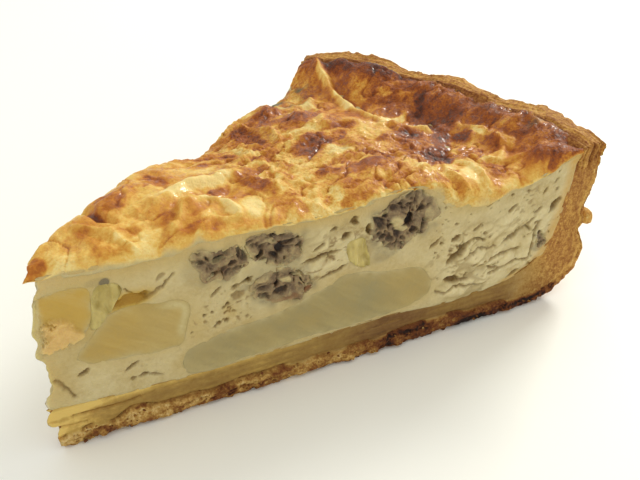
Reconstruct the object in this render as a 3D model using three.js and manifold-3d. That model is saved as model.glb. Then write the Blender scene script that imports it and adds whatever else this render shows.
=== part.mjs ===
// One slice of a deep potato and blue cheese quiche, an eighth of a 22 cm pie.
// Millimetres, +Z up. The slice lies on z = 0, its tip towards -X and its rim
// towards +X, with the middle of its box at the origin.
import * as THREE from 'three';
import { mergeVertices } from 'three/addons/utils/BufferGeometryUtils.js';
import Module from 'manifold-3d';

const wasm = await Module();
wasm.setup();

// Driving dimensions
const halfAngle = THREE.MathUtils.degToRad(21.25);
const apexX = -57.8;
const rimRadius = 114;
const rimHeight = 35.3;
const tipRadiusFront = 2.6;
const tipRadiusBack = 4.8;
const baseThickness = 8;
const pieceGap = 0.3;
const acrossCells = 12;
const cutterCells = 3;
const cutterSpread = 1 + 2 * cutterCells / acrossCells;
const cutterTip = 0.3;

// Stations round the pastry shell, from the tip along the base and up the wall.
// Each holds the inner and the outer point as [radius, height].
const shellStations = [
  { inner: [2.2, 8.9], outer: [2.6, 0] },
  { inner: [12, baseThickness], outer: [12, 0] },
  { inner: [28, 7.4], outer: [28, 0] },
  { inner: [46, 7.6], outer: [46, 0] },
  { inner: [64, 7.8], outer: [64, 0] },
  { inner: [80, 6.8], outer: [82, 0] },
  { inner: [92, 8], outer: [97, 0] },
  { inner: [98.5, 10], outer: [103.6, 0.5] },
  { inner: [101.3, 12.6], outer: [109.4, 3.8] },
  { inner: [102.6, 15], outer: [112.2, 6.8] },
  { inner: [103.4, 18], outer: [113, 10.5] },
  { inner: [104.4, 21], outer: [111, 15.6] },
  { inner: [105.4, 25], outer: [111.4, 21.6] },
  { inner: [106, 29], outer: [113.2, 27.6] },
  { inner: [106.2, 32.4], outer: [rimRadius - 0.8, 31.6] },
  { inner: [109.2, rimHeight], outer: [rimRadius, rimHeight - 0.3] },
];

// Pastry crumb baked onto the outer wall beside the shown cut: place round the rim, height, size and rise
const stuckCrumb = { arc: -41, height: 17, size: 2.4, rise: 3.2 };

// Height of the rim round the slice, as [share of the way across, height]
const rimLine = [[0, 35.1], [0.07, 35.9], [0.21, 36.6], [0.34, 35.4], [0.5, 37], [0.64, 36], [0.72, 37.2],
  [0.86, 37.7], [0.94, 36.6], [1, 35.4]];

// Uneven surfaces, each as layers of lumps with their own height and size; the seed keeps them apart
const wallRelief = [{ height: 0.7, size: 6.5, seed: 31 }, { height: 0.4, size: 2.6, seed: 35 }];
const rimRelief = [{ height: 0.2, size: 6, seed: 41 }, { height: 0.2, size: 2.4, seed: 44 }];
const floorRelief = [{ height: 0.3, size: 8, seed: 51 }];
const topRelief = [{ height: 0.45, size: 4.5, seed: 3 }, { height: 0.2, size: 2.2, seed: 8 }];
const cutRelief = [{ height: 0.7, size: 2.7, seed: 60 }, { height: 0.3, size: 1.2, seed: 65 }];
const wallSetBack = 0.1;
const innerRimShare = 0.7;
const pastryCrags = 0.7;
const cheeseCrags = 0.6;
const fillingCrags = 0.55;

// Height of the browned top along the shown cut, the middle and the hidden cut, as [radius, height]
const topAtFront = [[0, 34], [4, 34], [8, 35.2], [14, 35.6], [20, 35], [30, 34.6], [40, 34.2],
  [50, 34], [60, 34.6], [66, 35.3], [73, 34.6], [80, 31.5], [86, 30.4], [92, 30.6], [98, 31.4],
  [103, 33], [108, 34.9], [114, 35.3]];
const topAtMiddle = [[0, 34], [4, 34.5], [10, 36], [20, 36.8], [30, 36.5], [45, 35.5], [60, 35.2],
  [72, 35.4], [80, 35], [88, 32.6], [94, 31.6], [100, 32.5], [106, 34.6], [114, 35.3]];
const topAtBack = [[0, 34], [4, 35], [8, 36.6], [17, 36.6], [27, 36.8], [38, 36], [50, 32], [58, 31],
  [67, 32.8], [75, 32.6], [88, 30], [97, 30.2], [104, 33], [108, 34.9], [114, 35.3]];

// Depth of the melted cheese layer along the shown cut and elsewhere, as [radius, depth]
const cheeseAtFront = [[0, 1.4], [8, 2.8], [14, 3.7], [24, 3.7], [32, 2.2], [40, 1.6], [56, 1.7], [66, 2.6],
  [74, 3.6], [80, 5.4], [86, 4.2], [92, 2.2], [100, 1.8], [114, 1.8]];
const cheeseElsewhere = [[0, 1.8], [20, 3], [50, 2.4], [80, 3.2], [100, 1.9], [114, 1.8]];

// Lumps, folds and hollows of the browned top: middle, half length along its turn, half width,
// turn in degrees and rise
const topForms = [
  { x: -53, y: 0, along: 3, across: 2, turn: 0, rise: 0.5 },
  { x: -34.5, y: 5, along: 5, across: 2.6, turn: 15, rise: 0.9 },
  { x: -22, y: 1.6, along: 9, across: 1.8, turn: -5, rise: 1 },
  { x: -27, y: -6, along: 6, across: 4.4, turn: -10, rise: 1.3 },
  { x: -19, y: -3.4, along: 3.5, across: 1.6, turn: 20, rise: -0.8 },
  { x: -12, y: -6, along: 2.4, across: 5.5, turn: 10, rise: 0.8 },
  { x: 4, y: 15, along: 7.5, across: 3, turn: 75, rise: -0.9 },
  { x: 7.5, y: 0.4, along: 6.5, across: 4.6, turn: 20, rise: 0.8 },
  { x: 6.5, y: -15.5, along: 6, across: 4, turn: 10, rise: 1.2 },
  { x: 14.5, y: -13.5, along: 3.6, across: 1.8, turn: 60, rise: -1 },
  { x: 16, y: 24, along: 5, across: 3.6, turn: 40, rise: 1.5 },
  { x: 15.5, y: 13, along: 4, across: 3, turn: 45, rise: 1.1 },
  { x: 20, y: -26, along: 6.5, across: 4, turn: -15, rise: 1.4 },
  { x: 28, y: -17, along: 11, across: 2.6, turn: 30, rise: -1.3 },
  { x: 39.5, y: -19, along: 2, across: 8, turn: 0, rise: 0.9 },
  { x: 38.5, y: 19, along: 1.8, across: 17, turn: 0, rise: 1.1 },
  { x: 41.5, y: 27, along: 1.2, across: 8, turn: 0, rise: -0.9 },
  { x: 42, y: -6, along: 7, across: 5, turn: -40, rise: -0.8 },
  { x: 37.5, y: -33, along: 5, across: 2.8, turn: -15, rise: 2.2 },
  { x: 44, y: -36, along: 2.2, across: 2.6, turn: 0, rise: -1.4 },
];

// Open pores and slits of the shown cut: distance along the cut, height, half sizes, turn and depth
const frontPores = [
  { along: 17.6, height: 26.4, length: 2.9, width: 1.1, turn: -12, depth: 2.4 },
  { along: 79.6, height: 18, length: 2.9, width: 1.2, turn: 38, depth: 2.4 },
  { along: 79, height: 12.2, length: 2.5, width: 0.9, turn: -14, depth: 2 },
  { along: 102.4, height: 23.3, length: 1.9, width: 1, turn: 48, depth: 1.8 },
  { along: 8.4, height: 14.5, length: 1.2, width: 0.6, turn: 0, depth: 1 },
  { along: 95, height: 19.3, length: 3, width: 0.5, turn: 14, depth: 1.2 },
  { along: 57.2, height: 28.4, length: 2, width: 1.3, turn: 30, depth: 1.8 },
  { along: 50, height: 25, length: 3.6, width: 0.55, turn: 6, depth: 1.4 },
];

// The like on the hidden cut
const backPores = [
  { along: 38, height: 17, length: 2.4, width: 1, turn: 20, depth: 2 },
  { along: 92, height: 17, length: 2.8, width: 0.9, turn: -25, depth: 2 },
  { along: 84, height: 12, length: 2, width: 0.7, turn: 10, depth: 1.4 },
  { along: 98, height: 24, length: 1.6, width: 0.8, turn: 40, depth: 1.4 },
];

// Pieces set into the filling, each with the outline that shows on its cut,
// as [distance along the cut, height]
const cutPieces = [
  { name: 'potato_slab', cut: 'front', depth: 13, round: 0.75, colour: 0xb3a871,
    outline: [[24.5, 8.9], [48, 8.7], [70, 8.9], [74.6, 11], [72.6, 16.4], [62, 18.6], [55.5, 20],
      [51, 18], [42, 15.4], [30, 14.2], [24.6, 12.2]] },
  { name: 'potato_cube', cut: 'front', depth: 12, round: 0.9, colour: 0xbfae6a,
    outline: [[7.6, 17], [16, 14.9], [24.4, 14.8], [26.2, 18], [26.4, 22.4], [20.4, 24.4], [14.6, 23.8],
      [8.4, 20.4]] },
  { name: 'potato_tip', cut: 'front', depth: 9, round: 0.95, colour: 0xcdbd74,
    outline: [[1.2, 19.4], [6.6, 20.4], [10, 22.6], [11, 26.6], [10.8, 30], [5, 30.6], [1.2, 29.4]] },
  { name: 'onion_strip', cut: 'front', depth: 5, round: 0.85, colour: 0xd0c68c,
    outline: [[12, 23.8], [14.4, 25.4], [15.8, 28.4], [13.6, 30.2], [12.3, 26.8]] },
  { name: 'onion_leaf', cut: 'front', depth: 5, round: 0.8, colour: 0xada568,
    outline: [[55.6, 26.8], [55.2, 24], [57.4, 21.2], [60.4, 20.4], [60.2, 23.6], [59.4, 26.6],
      [57.4, 27.2]] },
  { name: 'blue_cheese_1', cut: 'front', depth: 7, round: 0.8, colour: 0x7b7362,
    outline: [[27.4, 30.6], [28.6, 26.6], [32, 25], [36.2, 26.6], [37, 30], [33.4, 31.4]] },
  { name: 'blue_cheese_2', cut: 'front', depth: 7.5, round: 0.8, colour: 0x756c5c,
    outline: [[37.6, 31.2], [37.8, 28], [40.6, 26.4], [45.4, 25.8], [46.8, 28.4], [44, 30.6], [41.4, 31.4]] },
  { name: 'blue_cheese_3', cut: 'front', depth: 7, round: 0.8, colour: 0x7d7563,
    outline: [[37.6, 22], [39.8, 19], [45, 17.4], [49, 18.8], [48.6, 22.4], [46, 24.4], [40, 25]] },
  { name: 'blue_cheese_4', cut: 'front', depth: 9, round: 0.85, colour: 0x77705e,
    outline: [[60.6, 30.4], [61.6, 25.4], [65.4, 22.4], [70.4, 24.6], [73.6, 27], [73.2, 30.6], [70, 32],
      [64, 31.6]] },
  { name: 'blue_cheese_5', cut: 'front', depth: 4, round: 0.8, colour: 0xa9a288,
    outline: [[98.6, 16.6], [100, 13.6], [102, 14], [101.6, 17], [100, 18.2]] },
  { name: 'potato_back_1', cut: 'back', depth: 12, round: 0.8, colour: 0xb3a871,
    outline: [[30, 9], [50, 8.8], [63, 9.2], [65, 13], [60, 18.4], [48, 19.6], [36, 17.4], [29, 13]] },
  { name: 'potato_back_2', cut: 'back', depth: 11, round: 0.85, colour: 0xbfae6a,
    outline: [[70, 10.6], [80, 9.2], [87, 10.4], [88, 16], [84, 21], [75, 21.4], [69.4, 16.6]] },
  { name: 'blue_cheese_back_1', cut: 'back', depth: 8, round: 0.8, colour: 0x756c5c,
    outline: [[42, 27.6], [44.6, 23.4], [50.6, 22.2], [55, 24.6], [52.6, 27.4], [47, 28.8]] },
  { name: 'blue_cheese_back_2', cut: 'back', depth: 7.5, round: 0.8, colour: 0x7d7563,
    outline: [[92.6, 23], [94, 20], [98.4, 19.4], [100.6, 22], [99, 25], [95, 26]] },
];
const outlineSides = 16;
const outlineUnevenness = 0.035;
const farEndShare = 0.25;
const depthRings = 3;
const cutterReach = 4;
const poreSides = 8;
const poreRings = 4;

// Directions on the two cuts, seen from above: along the cut from the apex, and out of the food
const cuts = {
  front: {
    along: [Math.cos(halfAngle), -Math.sin(halfAngle)],
    out: [-Math.sin(halfAngle), -Math.cos(halfAngle)],
  },
  back: {
    along: [Math.cos(halfAngle), Math.sin(halfAngle)],
    out: [-Math.sin(halfAngle), Math.cos(halfAngle)],
  },
};

// Smooth curve through [x, y] knots, flat where they turn, so it never overshoots
function curveThrough(knots) {
  const slopes = knots.slice(1).map((knot, i) => (knot[1] - knots[i][1]) / (knot[0] - knots[i][0]));
  const tangents = knots.map((knot, i) => {
    const before = slopes[Math.max(i - 1, 0)];
    const after = slopes[Math.min(i, slopes.length - 1)];
    return before * after <= 0 ? 0 : 2 * before * after / (before + after);
  });
  return (x) => {
    const clamped = THREE.MathUtils.clamp(x, knots[0][0], knots[knots.length - 1][0]);
    let i = knots.findIndex((knot, n) => n > 0 && clamped <= knot[0]) - 1;
    i = Math.max(i, 0);
    const width = knots[i + 1][0] - knots[i][0];
    const t = (clamped - knots[i][0]) / width;
    const near = knots[i][1] * (1 + 2 * t) * (1 - t) ** 2 + knots[i + 1][1] * t * t * (3 - 2 * t);
    return near + width * (tangents[i] * t * (1 - t) ** 2 - tangents[i + 1] * t * t * (1 - t));
  };
}

// Even random value from -1 to 1 for a corner of the noise lattice
function latticeValue(i, j, k) {
  const wave = Math.sin(i * 127.1 + j * 311.7 + k * 74.7) * 43758.5453;
  return 2 * (wave - Math.floor(wave)) - 1;
}

// Smooth noise from -1 to 1 that changes over about one unit
function noise(x, y, z) {
  const [i, j, k] = [x, y, z].map(Math.floor);
  const [u, v, w] = [x - i, y - j, z - k].map((t) => t * t * (3 - 2 * t));
  const mix = THREE.MathUtils.lerp;
  const edge = (b, c) => mix(latticeValue(i, j + b, k + c), latticeValue(i + 1, j + b, k + c), u);
  return mix(mix(edge(0, 0), edge(1, 0), v), mix(edge(0, 1), edge(1, 1), v), w);
}

const frontTop = curveThrough(topAtFront);
const middleTop = curveThrough(topAtMiddle);
const backTop = curveThrough(topAtBack);
const frontCheese = curveThrough(cheeseAtFront);
const otherCheese = curveThrough(cheeseElsewhere);
const rimTop = curveThrough(rimLine);

// Radius from the apex, and place across the slice from 0 on the shown cut to 1 on the hidden one
function fanPlace(x, y) {
  const radius = Math.hypot(x - apexX, y);
  const across = THREE.MathUtils.clamp((Math.atan2(y, x - apexX) / halfAngle + 1) / 2, 0, 1);
  return { radius, across };
}

// Height of the browned top at a point: three profiles joined across the slice, and its forms
function topHeight(x, y) {
  const { radius, across } = fanPlace(x, y);
  const front = frontTop(radius) * 2 * (across - 0.5) * (across - 1);
  const middle = middleTop(radius) * 4 * across * (1 - across);
  const back = backTop(radius) * 2 * across * (across - 0.5);
  let height = front + middle + back;
  for (const form of topForms) {
    const turn = THREE.MathUtils.degToRad(form.turn);
    const dx = x - form.x;
    const dy = y - form.y;
    const along = (dx * Math.cos(turn) + dy * Math.sin(turn)) / form.along;
    const sideways = (dy * Math.cos(turn) - dx * Math.sin(turn)) / form.across;
    height += form.rise * Math.exp(-1.2 * (along * along + sideways * sideways));
  }
  return height;
}

// Height of an uneven surface at a place on it
function relief(x, y, layers, offset = 0) {
  return layers.reduce((sum, { height, size, seed }) => (
    sum + height * noise(x / size, y / size, seed + offset)
  ), 0);
}

// Underside of the melted layer: deep where its folds hang over the shown cut
function undersideHeight(x, y) {
  const { radius, across } = fanPlace(x, y);
  const nearFront = Math.exp(-((across / 0.16) ** 2));
  const depth = THREE.MathUtils.lerp(otherCheese(radius), frontCheese(radius), nearFront);
  return topHeight(x, y) - depth;
}

// Point of the fan, across = 0 on the shown cut and 1 on the hidden one
function fanPoint(radius, across, height, spread = 1) {
  const angle = halfAngle * spread * (2 * across - 1);
  return [apexX + radius * Math.cos(angle), radius * Math.sin(angle), height];
}

// Crags of a cut face, pushed out of it by up to the given size
function roughenCut(point, across, size) {
  if (across > 0 && across < 1) {
    return point;
  }
  const out = across === 0 ? cuts.front.out : cuts.back.out;
  const [x, y, z] = point;
  const push = size * relief(x, z, cutRelief, across);
  return [x + out[0] * push, y + out[1] * push, z];
}

// Closed skin of a block of cells: place(u, v, w) gives each corner, u, v and w from 0 to 1
function blockGeometry(nu, nv, nw, place) {
  const positions = [];
  const triangles = [];
  const quad = (a, b, c, d) => triangles.push(a, b, c, a, c, d);
  const side = (na, nb, corner) => {
    const first = positions.length / 3;
    for (let a = 0; a <= na; a += 1) {
      for (let b = 0; b <= nb; b += 1) {
        positions.push(...corner(a / na, b / nb));
      }
    }
    const at = (a, b) => first + a * (nb + 1) + b;
    for (let a = 0; a < na; a += 1) {
      for (let b = 0; b < nb; b += 1) {
        quad(at(a, b), at(a + 1, b), at(a + 1, b + 1), at(a, b + 1));
      }
    }
  };
  side(nu, nv, (a, b) => place(a, b, 1));
  side(nv, nu, (a, b) => place(b, a, 0));
  side(nv, nw, (a, b) => place(1, a, b));
  side(nw, nv, (a, b) => place(0, b, a));
  side(nw, nu, (a, b) => place(b, 1, a));
  side(nu, nw, (a, b) => place(a, 0, b));
  const geometry = new THREE.BufferGeometry();
  geometry.setAttribute('position', new THREE.Float32BufferAttribute(positions, 3));
  geometry.setIndex(triangles);
  return mergeVertices(geometry, 1e-5);
}

// Solid for cutting and joining, made from a closed geometry
function solidFrom(geometry) {
  const bare = geometry.clone();
  bare.deleteAttribute('normal');
  bare.deleteAttribute('uv');
  const merged = mergeVertices(bare, 1e-4);
  return new wasm.Manifold(new wasm.Mesh({
    numProp: 3,
    vertProperties: new Float32Array(merged.attributes.position.array),
    triVerts: new Uint32Array(merged.index.array),
  }));
}

// Geometry of a solid's largest piece, so that a scrap left by a cut is dropped
function geometryFrom(solid) {
  const pieces = solid.decompose();
  pieces.sort((a, b) => b.volume() - a.volume());
  const mesh = pieces[0].getMesh();
  const geometry = new THREE.BufferGeometry();
  geometry.setAttribute('position', new THREE.Float32BufferAttribute(mesh.vertProperties, 3));
  geometry.setIndex(Array.from(mesh.triVerts));
  return geometry;
}

// Pastry shell: the space between its inner and outer line, carried across the slice.
// As a cutter it is wider than the slice, starts nearer the apex and stands off by the gap.
function shellGeometry(asCutter) {
  const innerCurve = new THREE.CatmullRomCurve3(
    shellStations.map(({ inner }) => new THREE.Vector3(inner[0], inner[1], 0)), false, 'centripetal');
  const outerCurve = new THREE.CatmullRomCurve3(
    shellStations.map(({ outer }) => new THREE.Vector3(outer[0], outer[1], 0)), false, 'centripetal');
  const spans = shellStations.length - 1;
  const longSpans = 6;
  const stepsPerLongSpan = 3;
  const stepsPerShortSpan = 2;
  const longSteps = longSpans * stepsPerLongSpan;
  const steps = longSteps + (spans - longSpans) * stepsPerShortSpan;
  const spread = asCutter ? cutterSpread : 1;
  const standOff = asCutter ? pieceGap : 0;
  const cells = acrossCells + (asCutter ? 2 * cutterCells : 0);
  return blockGeometry(steps, cells, asCutter ? 1 : 2, (u, v, w) => {
    const step = Math.round(u * steps);
    const station = step <= longSteps
      ? step / stepsPerLongSpan
      : longSpans + (step - longSteps) / stepsPerShortSpan;
    const inner = innerCurve.getPoint(station / spans);
    const outer = outerCurve.getPoint(station / spans);
    const onWall = THREE.MathUtils.smoothstep(station, longSpans + 0.5, longSpans + 2.5);
    const angle = (2 * v - 1) * halfAngle * spread;
    const arc = angle * rimRadius;
    const wave = relief(arc, outer.y, wallRelief) - wallSetBack;
    const across = THREE.MathUtils.clamp((spread * (2 * v - 1) + 1) / 2, 0, 1);
    const rimLift = rimTop(across) - rimHeight;
    const rimWave = relief(arc, 0, rimRelief) + rimLift;
    const onRim = Math.max(0, station - spans + 1);
    const floorWave = relief(inner.x * angle, inner.x, floorRelief) * (1 - onWall);
    const tip = asCutter && step === 0
      ? cutterTip - inner.x
      : (tipRadiusBack - tipRadiusFront) * across * Math.max(0, 1 - station);
    const crumb = Math.exp(-(((arc - stuckCrumb.arc) / stuckCrumb.size) ** 2)
      - ((outer.y - stuckCrumb.height) / stuckCrumb.size) ** 2);
    const outerRadius = outer.x + onWall * (wave + stuckCrumb.rise * crumb) + tip;
    const outerHeight = Math.max(0, outer.y) + rimWave * onRim;
    const innerRadius = inner.x + tip - standOff;
    const innerHeight = inner.y + floorWave + standOff + innerRimShare * rimLift * onRim;
    const radius = THREE.MathUtils.lerp(outerRadius, innerRadius, w);
    const height = THREE.MathUtils.lerp(outerHeight, innerHeight, w);
    const point = fanPoint(radius, v, height, spread);
    const onUnderside = w === 0 && onWall === 0;
    return asCutter || onUnderside ? point : roughenCut(point, v, pastryCrags);
  });
}

// Outer edge of the melted layer where it sits on the rim, at its underside and at its top
const seatRadius = 106.2 - pieceGap;
const edgeRadius = 109 - pieceGap;

// Melted, browned cheese over the filling, up to the rim. As a cutter it is lowered by the gap.
function cheeseGeometry(asCutter) {
  const spread = asCutter ? cutterSpread : 1;
  const cells = acrossCells + (asCutter ? 2 * cutterCells : 0);
  return blockGeometry(33, cells, asCutter ? 1 : 2, (u, v, w) => {
    const across = THREE.MathUtils.clamp((spread * (2 * v - 1) + 1) / 2, 0, 1);
    const lowTip = THREE.MathUtils.lerp(3.4, 5.2, across);
    const highTip = THREE.MathUtils.lerp(2.4, 4.4, across);
    const tip = asCutter && u === 0 ? cutterTip : THREE.MathUtils.lerp(lowTip, highTip, Math.sqrt(w));
    const edge = THREE.MathUtils.lerp(seatRadius, edgeRadius, w);
    const radius = THREE.MathUtils.lerp(tip, edge, u);
    const [x, y] = fanPoint(radius, v, 0, spread);
    const low = undersideHeight(x, y) - (asCutter ? pieceGap : 0);
    const height = THREE.MathUtils.lerp(low, topHeight(x, y) + relief(x, y, topRelief), w);
    const point = fanPoint(radius, v, height, spread);
    return asCutter ? point : roughenCut(point, v, cheeseCrags);
  });
}

// Filling before its neighbours are cut out of it, half way into the cheese above and the pastry round it
function fillingGeometry() {
  return blockGeometry(26, 2, 6, (u, v, w) => {
    const tip = THREE.MathUtils.lerp(tipRadiusFront, tipRadiusBack, v) + 0.5 * noise(w * 6, v * 2, 81);
    const wallRadius = THREE.MathUtils.lerp(103, 108, w);
    const radius = THREE.MathUtils.lerp(tip, wallRadius, u);
    const [x, y] = fanPoint(radius, v, 0);
    const roof = (topHeight(x, y) + undersideHeight(x, y)) / 2;
    const height = THREE.MathUtils.lerp(baseThickness / 2, roof, w);
    return roughenCut(fanPoint(radius, v, height), v, fillingCrags);
  });
}

// Point on a cut: distance along it from the apex, height, and depth into the food
function cutPoint(cut, along, height, depth) {
  return [
    apexX + cut.along[0] * along - cut.out[0] * depth,
    cut.along[1] * along - cut.out[1] * depth,
    height,
  ];
}

// Piece set into the food: its outline carried inwards and rounded off at the far end.
// As a cutter it is larger by the gap and reaches out past the cut.
function insetGeometry(piece, asCutter) {
  const cut = cuts[piece.cut];
  const grow = asCutter ? pieceGap : 0;
  const turns = signOfOutline(piece.outline);
  const curve = new THREE.CatmullRomCurve3(
    piece.outline.map(([along, height]) => new THREE.Vector3(along, height, 0)), true, 'centripetal');
  const middle = new THREE.Box3().setFromPoints(curve.getPoints(60)).getCenter(new THREE.Vector3());
  const steps = Array.from({ length: depthRings + 1 }, (unused, ring) => ring / depthRings);
  const rings = steps.map((into) => {
    const fullness = (1 - into ** 2.6) ** (1 - piece.round / 2);
    const scale = THREE.MathUtils.lerp(farEndShare, 1, fullness);
    return { into, scale, depth: (piece.depth + grow) * into };
  });
  if (asCutter) {
    rings.unshift({ ...rings[0], depth: -cutterReach });
  }
  const positions = [];
  for (const { into, scale, depth } of rings) {
    for (let n = 0; n < outlineSides; n += 1) {
      const at = curve.getPointAt(n / outlineSides).sub(middle);
      const tangent = curve.getTangentAt(n / outlineSides);
      const bump = 1 + outlineUnevenness * noise(at.x / 2, at.y / 2, 3 * into + piece.depth);
      at.multiplyScalar(scale * bump).add(middle);
      at.x += tangent.y * turns * grow;
      at.y -= tangent.x * turns * grow;
      positions.push(...cutPoint(cut, at.x, at.y, depth));
    }
  }
  const firstCentre = positions.length / 3;
  positions.push(...cutPoint(cut, middle.x, middle.y, rings[0].depth));
  positions.push(...cutPoint(cut, middle.x, middle.y, piece.depth + grow));
  const triangles = [];
  const flip = turns * (piece.cut === 'front' ? 1 : -1);
  const triangle = (a, b, c) => (flip > 0 ? triangles.push(a, b, c) : triangles.push(a, c, b));
  for (let n = 0; n < outlineSides; n += 1) {
    const next = (n + 1) % outlineSides;
    triangle(firstCentre, n, next);
    for (let ring = 0; ring < rings.length - 1; ring += 1) {
      const a = ring * outlineSides;
      const b = a + outlineSides;
      triangle(a + n, b + n, b + next);
      triangle(a + n, b + next, a + next);
    }
    const last = (rings.length - 1) * outlineSides;
    triangle(firstCentre + 1, last + next, last + n);
  }
  const geometry = new THREE.BufferGeometry();
  geometry.setAttribute('position', new THREE.Float32BufferAttribute(positions, 3));
  geometry.setIndex(triangles);
  return geometry;
}

// 1 for an outline that runs anticlockwise as seen on its cut, -1 for a clockwise one
function signOfOutline(outline) {
  const area = outline.reduce((sum, [x, y], i) => {
    const [nextX, nextY] = outline[(i + 1) % outline.length];
    return sum + x * nextY - nextX * y;
  }, 0);
  return Math.sign(area);
}

// Pore open at a cut: a stretched ball with its middle on the face
function poreGeometry(pore, cutName) {
  const cut = cuts[cutName];
  const ball = new THREE.SphereGeometry(1, poreSides, poreRings);
  const turn = THREE.MathUtils.degToRad(pore.turn);
  const at = ball.attributes.position;
  for (let n = 0; n < at.count; n += 1) {
    const x = at.getX(n) * pore.length;
    const z = at.getZ(n) * pore.width;
    const along = pore.along + x * Math.cos(turn) - z * Math.sin(turn);
    const height = pore.height + x * Math.sin(turn) + z * Math.cos(turn);
    const mirrored = cutName === 'front' ? 1 : -1;
    at.setXYZ(n, ...cutPoint(cut, along, height, at.getY(n) * mirrored * pore.depth));
  }
  return ball;
}

// The slice's own space between its two cuts, for trimming pieces that would reach through the tip
function sliceSpace() {
  return solidFrom(blockGeometry(1, 6, 1, (u, v, w) => {
    const tip = THREE.MathUtils.lerp(tipRadiusFront, tipRadiusBack, v) - 0.6;
    return fanPoint(THREE.MathUtils.lerp(tip, rimRadius, u), v, w * rimHeight * 1.2);
  }));
}

function meshOf(name, geometry, colour, roughness) {
  const material = new THREE.MeshStandardMaterial({ color: colour, roughness, metalness: 0 });
  const mesh = new THREE.Mesh(geometry, material);
  mesh.name = name;
  return mesh;
}

const group = new THREE.Group();
group.name = 'quiche_slice';

const slice = sliceSpace();
const crust = solidFrom(shellGeometry(false));
const shellCutter = solidFrom(shellGeometry(true));
const cheeseCutter = solidFrom(cheeseGeometry(true));
const cheese = solidFrom(cheeseGeometry(false)).subtract(crust);
let filling = solidFrom(fillingGeometry()).subtract(shellCutter).subtract(cheeseCutter);
for (const piece of cutPieces) {
  const whole = solidFrom(insetGeometry(piece, false)).intersect(slice);
  const solid = whole.subtract(shellCutter).subtract(cheeseCutter);
  group.add(meshOf(piece.name, geometryFrom(solid), piece.colour, 0.55));
  filling = filling.subtract(solidFrom(insetGeometry(piece, true)));
}
for (const pore of frontPores) {
  filling = filling.subtract(solidFrom(poreGeometry(pore, 'front')));
}
for (const pore of backPores) {
  filling = filling.subtract(solidFrom(poreGeometry(pore, 'back')));
}
group.add(meshOf('crust', geometryFrom(crust), 0xa67c42, 0.8));
group.add(meshOf('custard', geometryFrom(filling), 0xc9bb8c, 0.6));
group.add(meshOf('melted_cheese', geometryFrom(cheese), 0xcf9440, 0.4));

export default group;
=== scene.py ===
import math

import bpy
import numpy as np
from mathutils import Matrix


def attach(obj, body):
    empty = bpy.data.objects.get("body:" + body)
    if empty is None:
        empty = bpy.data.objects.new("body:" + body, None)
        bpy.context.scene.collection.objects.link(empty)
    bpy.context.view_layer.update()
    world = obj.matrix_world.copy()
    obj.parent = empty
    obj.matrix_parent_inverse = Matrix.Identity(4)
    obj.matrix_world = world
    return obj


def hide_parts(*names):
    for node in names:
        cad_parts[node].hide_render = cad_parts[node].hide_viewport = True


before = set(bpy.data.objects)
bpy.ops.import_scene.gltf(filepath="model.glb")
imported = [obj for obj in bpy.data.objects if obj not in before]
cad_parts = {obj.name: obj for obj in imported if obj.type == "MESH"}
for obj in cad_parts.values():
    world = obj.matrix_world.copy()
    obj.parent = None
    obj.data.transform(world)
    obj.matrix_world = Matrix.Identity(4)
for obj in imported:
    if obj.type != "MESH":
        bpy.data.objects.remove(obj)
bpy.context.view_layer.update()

# Sizes are in millimetres until a mesh is written, which is in metres.
# A place in the slice is its radius from the apex of the two cuts, its share of the way across
# from the shown cut (0) to the hidden one (1), and its height.
wedge = {
    "apexX": -57.8,
    "halfAngle": math.radians(21.25),
    "tipFront": 2.6,   # radius where the filling begins at the shown cut
    "tipBack": 4.8,    # and at the hidden one
    "rimRadius": 114,  # outside of the rim at its top
    "rimHeight": 35.1,
}
metre = 0.001
apexX = wedge["apexX"]
halfAngle = wedge["halfAngle"]
tipSpread = wedge["tipBack"] - wedge["tipFront"]
cuts = ((0, "front"), (1, "back"))
cutAlong, cutOut = {}, {}    # unit vectors along each cut from the apex, and straight out of it
for hand, cutName in ((-1, "front"), (1, "back")):
    cutAlong[cutName] = np.array([math.cos(halfAngle), hand * math.sin(halfAngle), 0.0])
    cutOut[cutName] = np.array([-math.sin(halfAngle), hand * math.cos(halfAngle), 0.0])


# Shape helpers

def smoothStep(x, low, high):
    # 0 below low, 1 above high, an S curve between
    t = np.clip((x - low) / (high - low), 0.0, 1.0)
    return t * t * (3.0 - 2.0 * t)


def bump(x, middle, width):
    # Bell of height 1 at the middle
    return np.exp(-((x - middle) / width) ** 2)


def curveThrough(knots):
    # Cubic through the knots with the harmonic mean of the two slopes as tangent, so it never overshoots
    x, y = np.array(knots, float).T
    slope = np.diff(y) / np.diff(x)
    before = np.concatenate([slope[:1], slope])
    after = np.concatenate([slope, slope[-1:]])
    same = before * after > 0
    total = np.where(same, before + after, 1.0)
    tangent = np.where(same, 2.0 * before * after / total, 0.0)

    def value(at):
        at = np.clip(at, x[0], x[-1])
        i = np.clip(np.searchsorted(x, at, side="right") - 1, 0, len(x) - 2)
        width = x[i + 1] - x[i]
        t = (at - x[i]) / width
        near = y[i] * (1 + 2 * t) * (1 - t) ** 2 + y[i + 1] * t * t * (3 - 2 * t)
        return near + width * (tangent[i] * t * (1 - t) ** 2 - tangent[i + 1] * t * t * (1 - t))

    return value


def latticeValue(i, j, k, seed):
    # Even random value from -1 to 1 for a corner of the noise lattice, by integer hashing
    h = (i * 73856093) ^ (j * 19349663) ^ (k * 83492791) ^ (seed * 2654435761)
    h = (h ^ (h >> 13)) * 1274126177 & 0xFFFFFFFF
    h = (h ^ (h >> 16)) * 2246822519 & 0xFFFFFFFF
    return (h ^ (h >> 15)) / 2147483647.5 - 1.0


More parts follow.
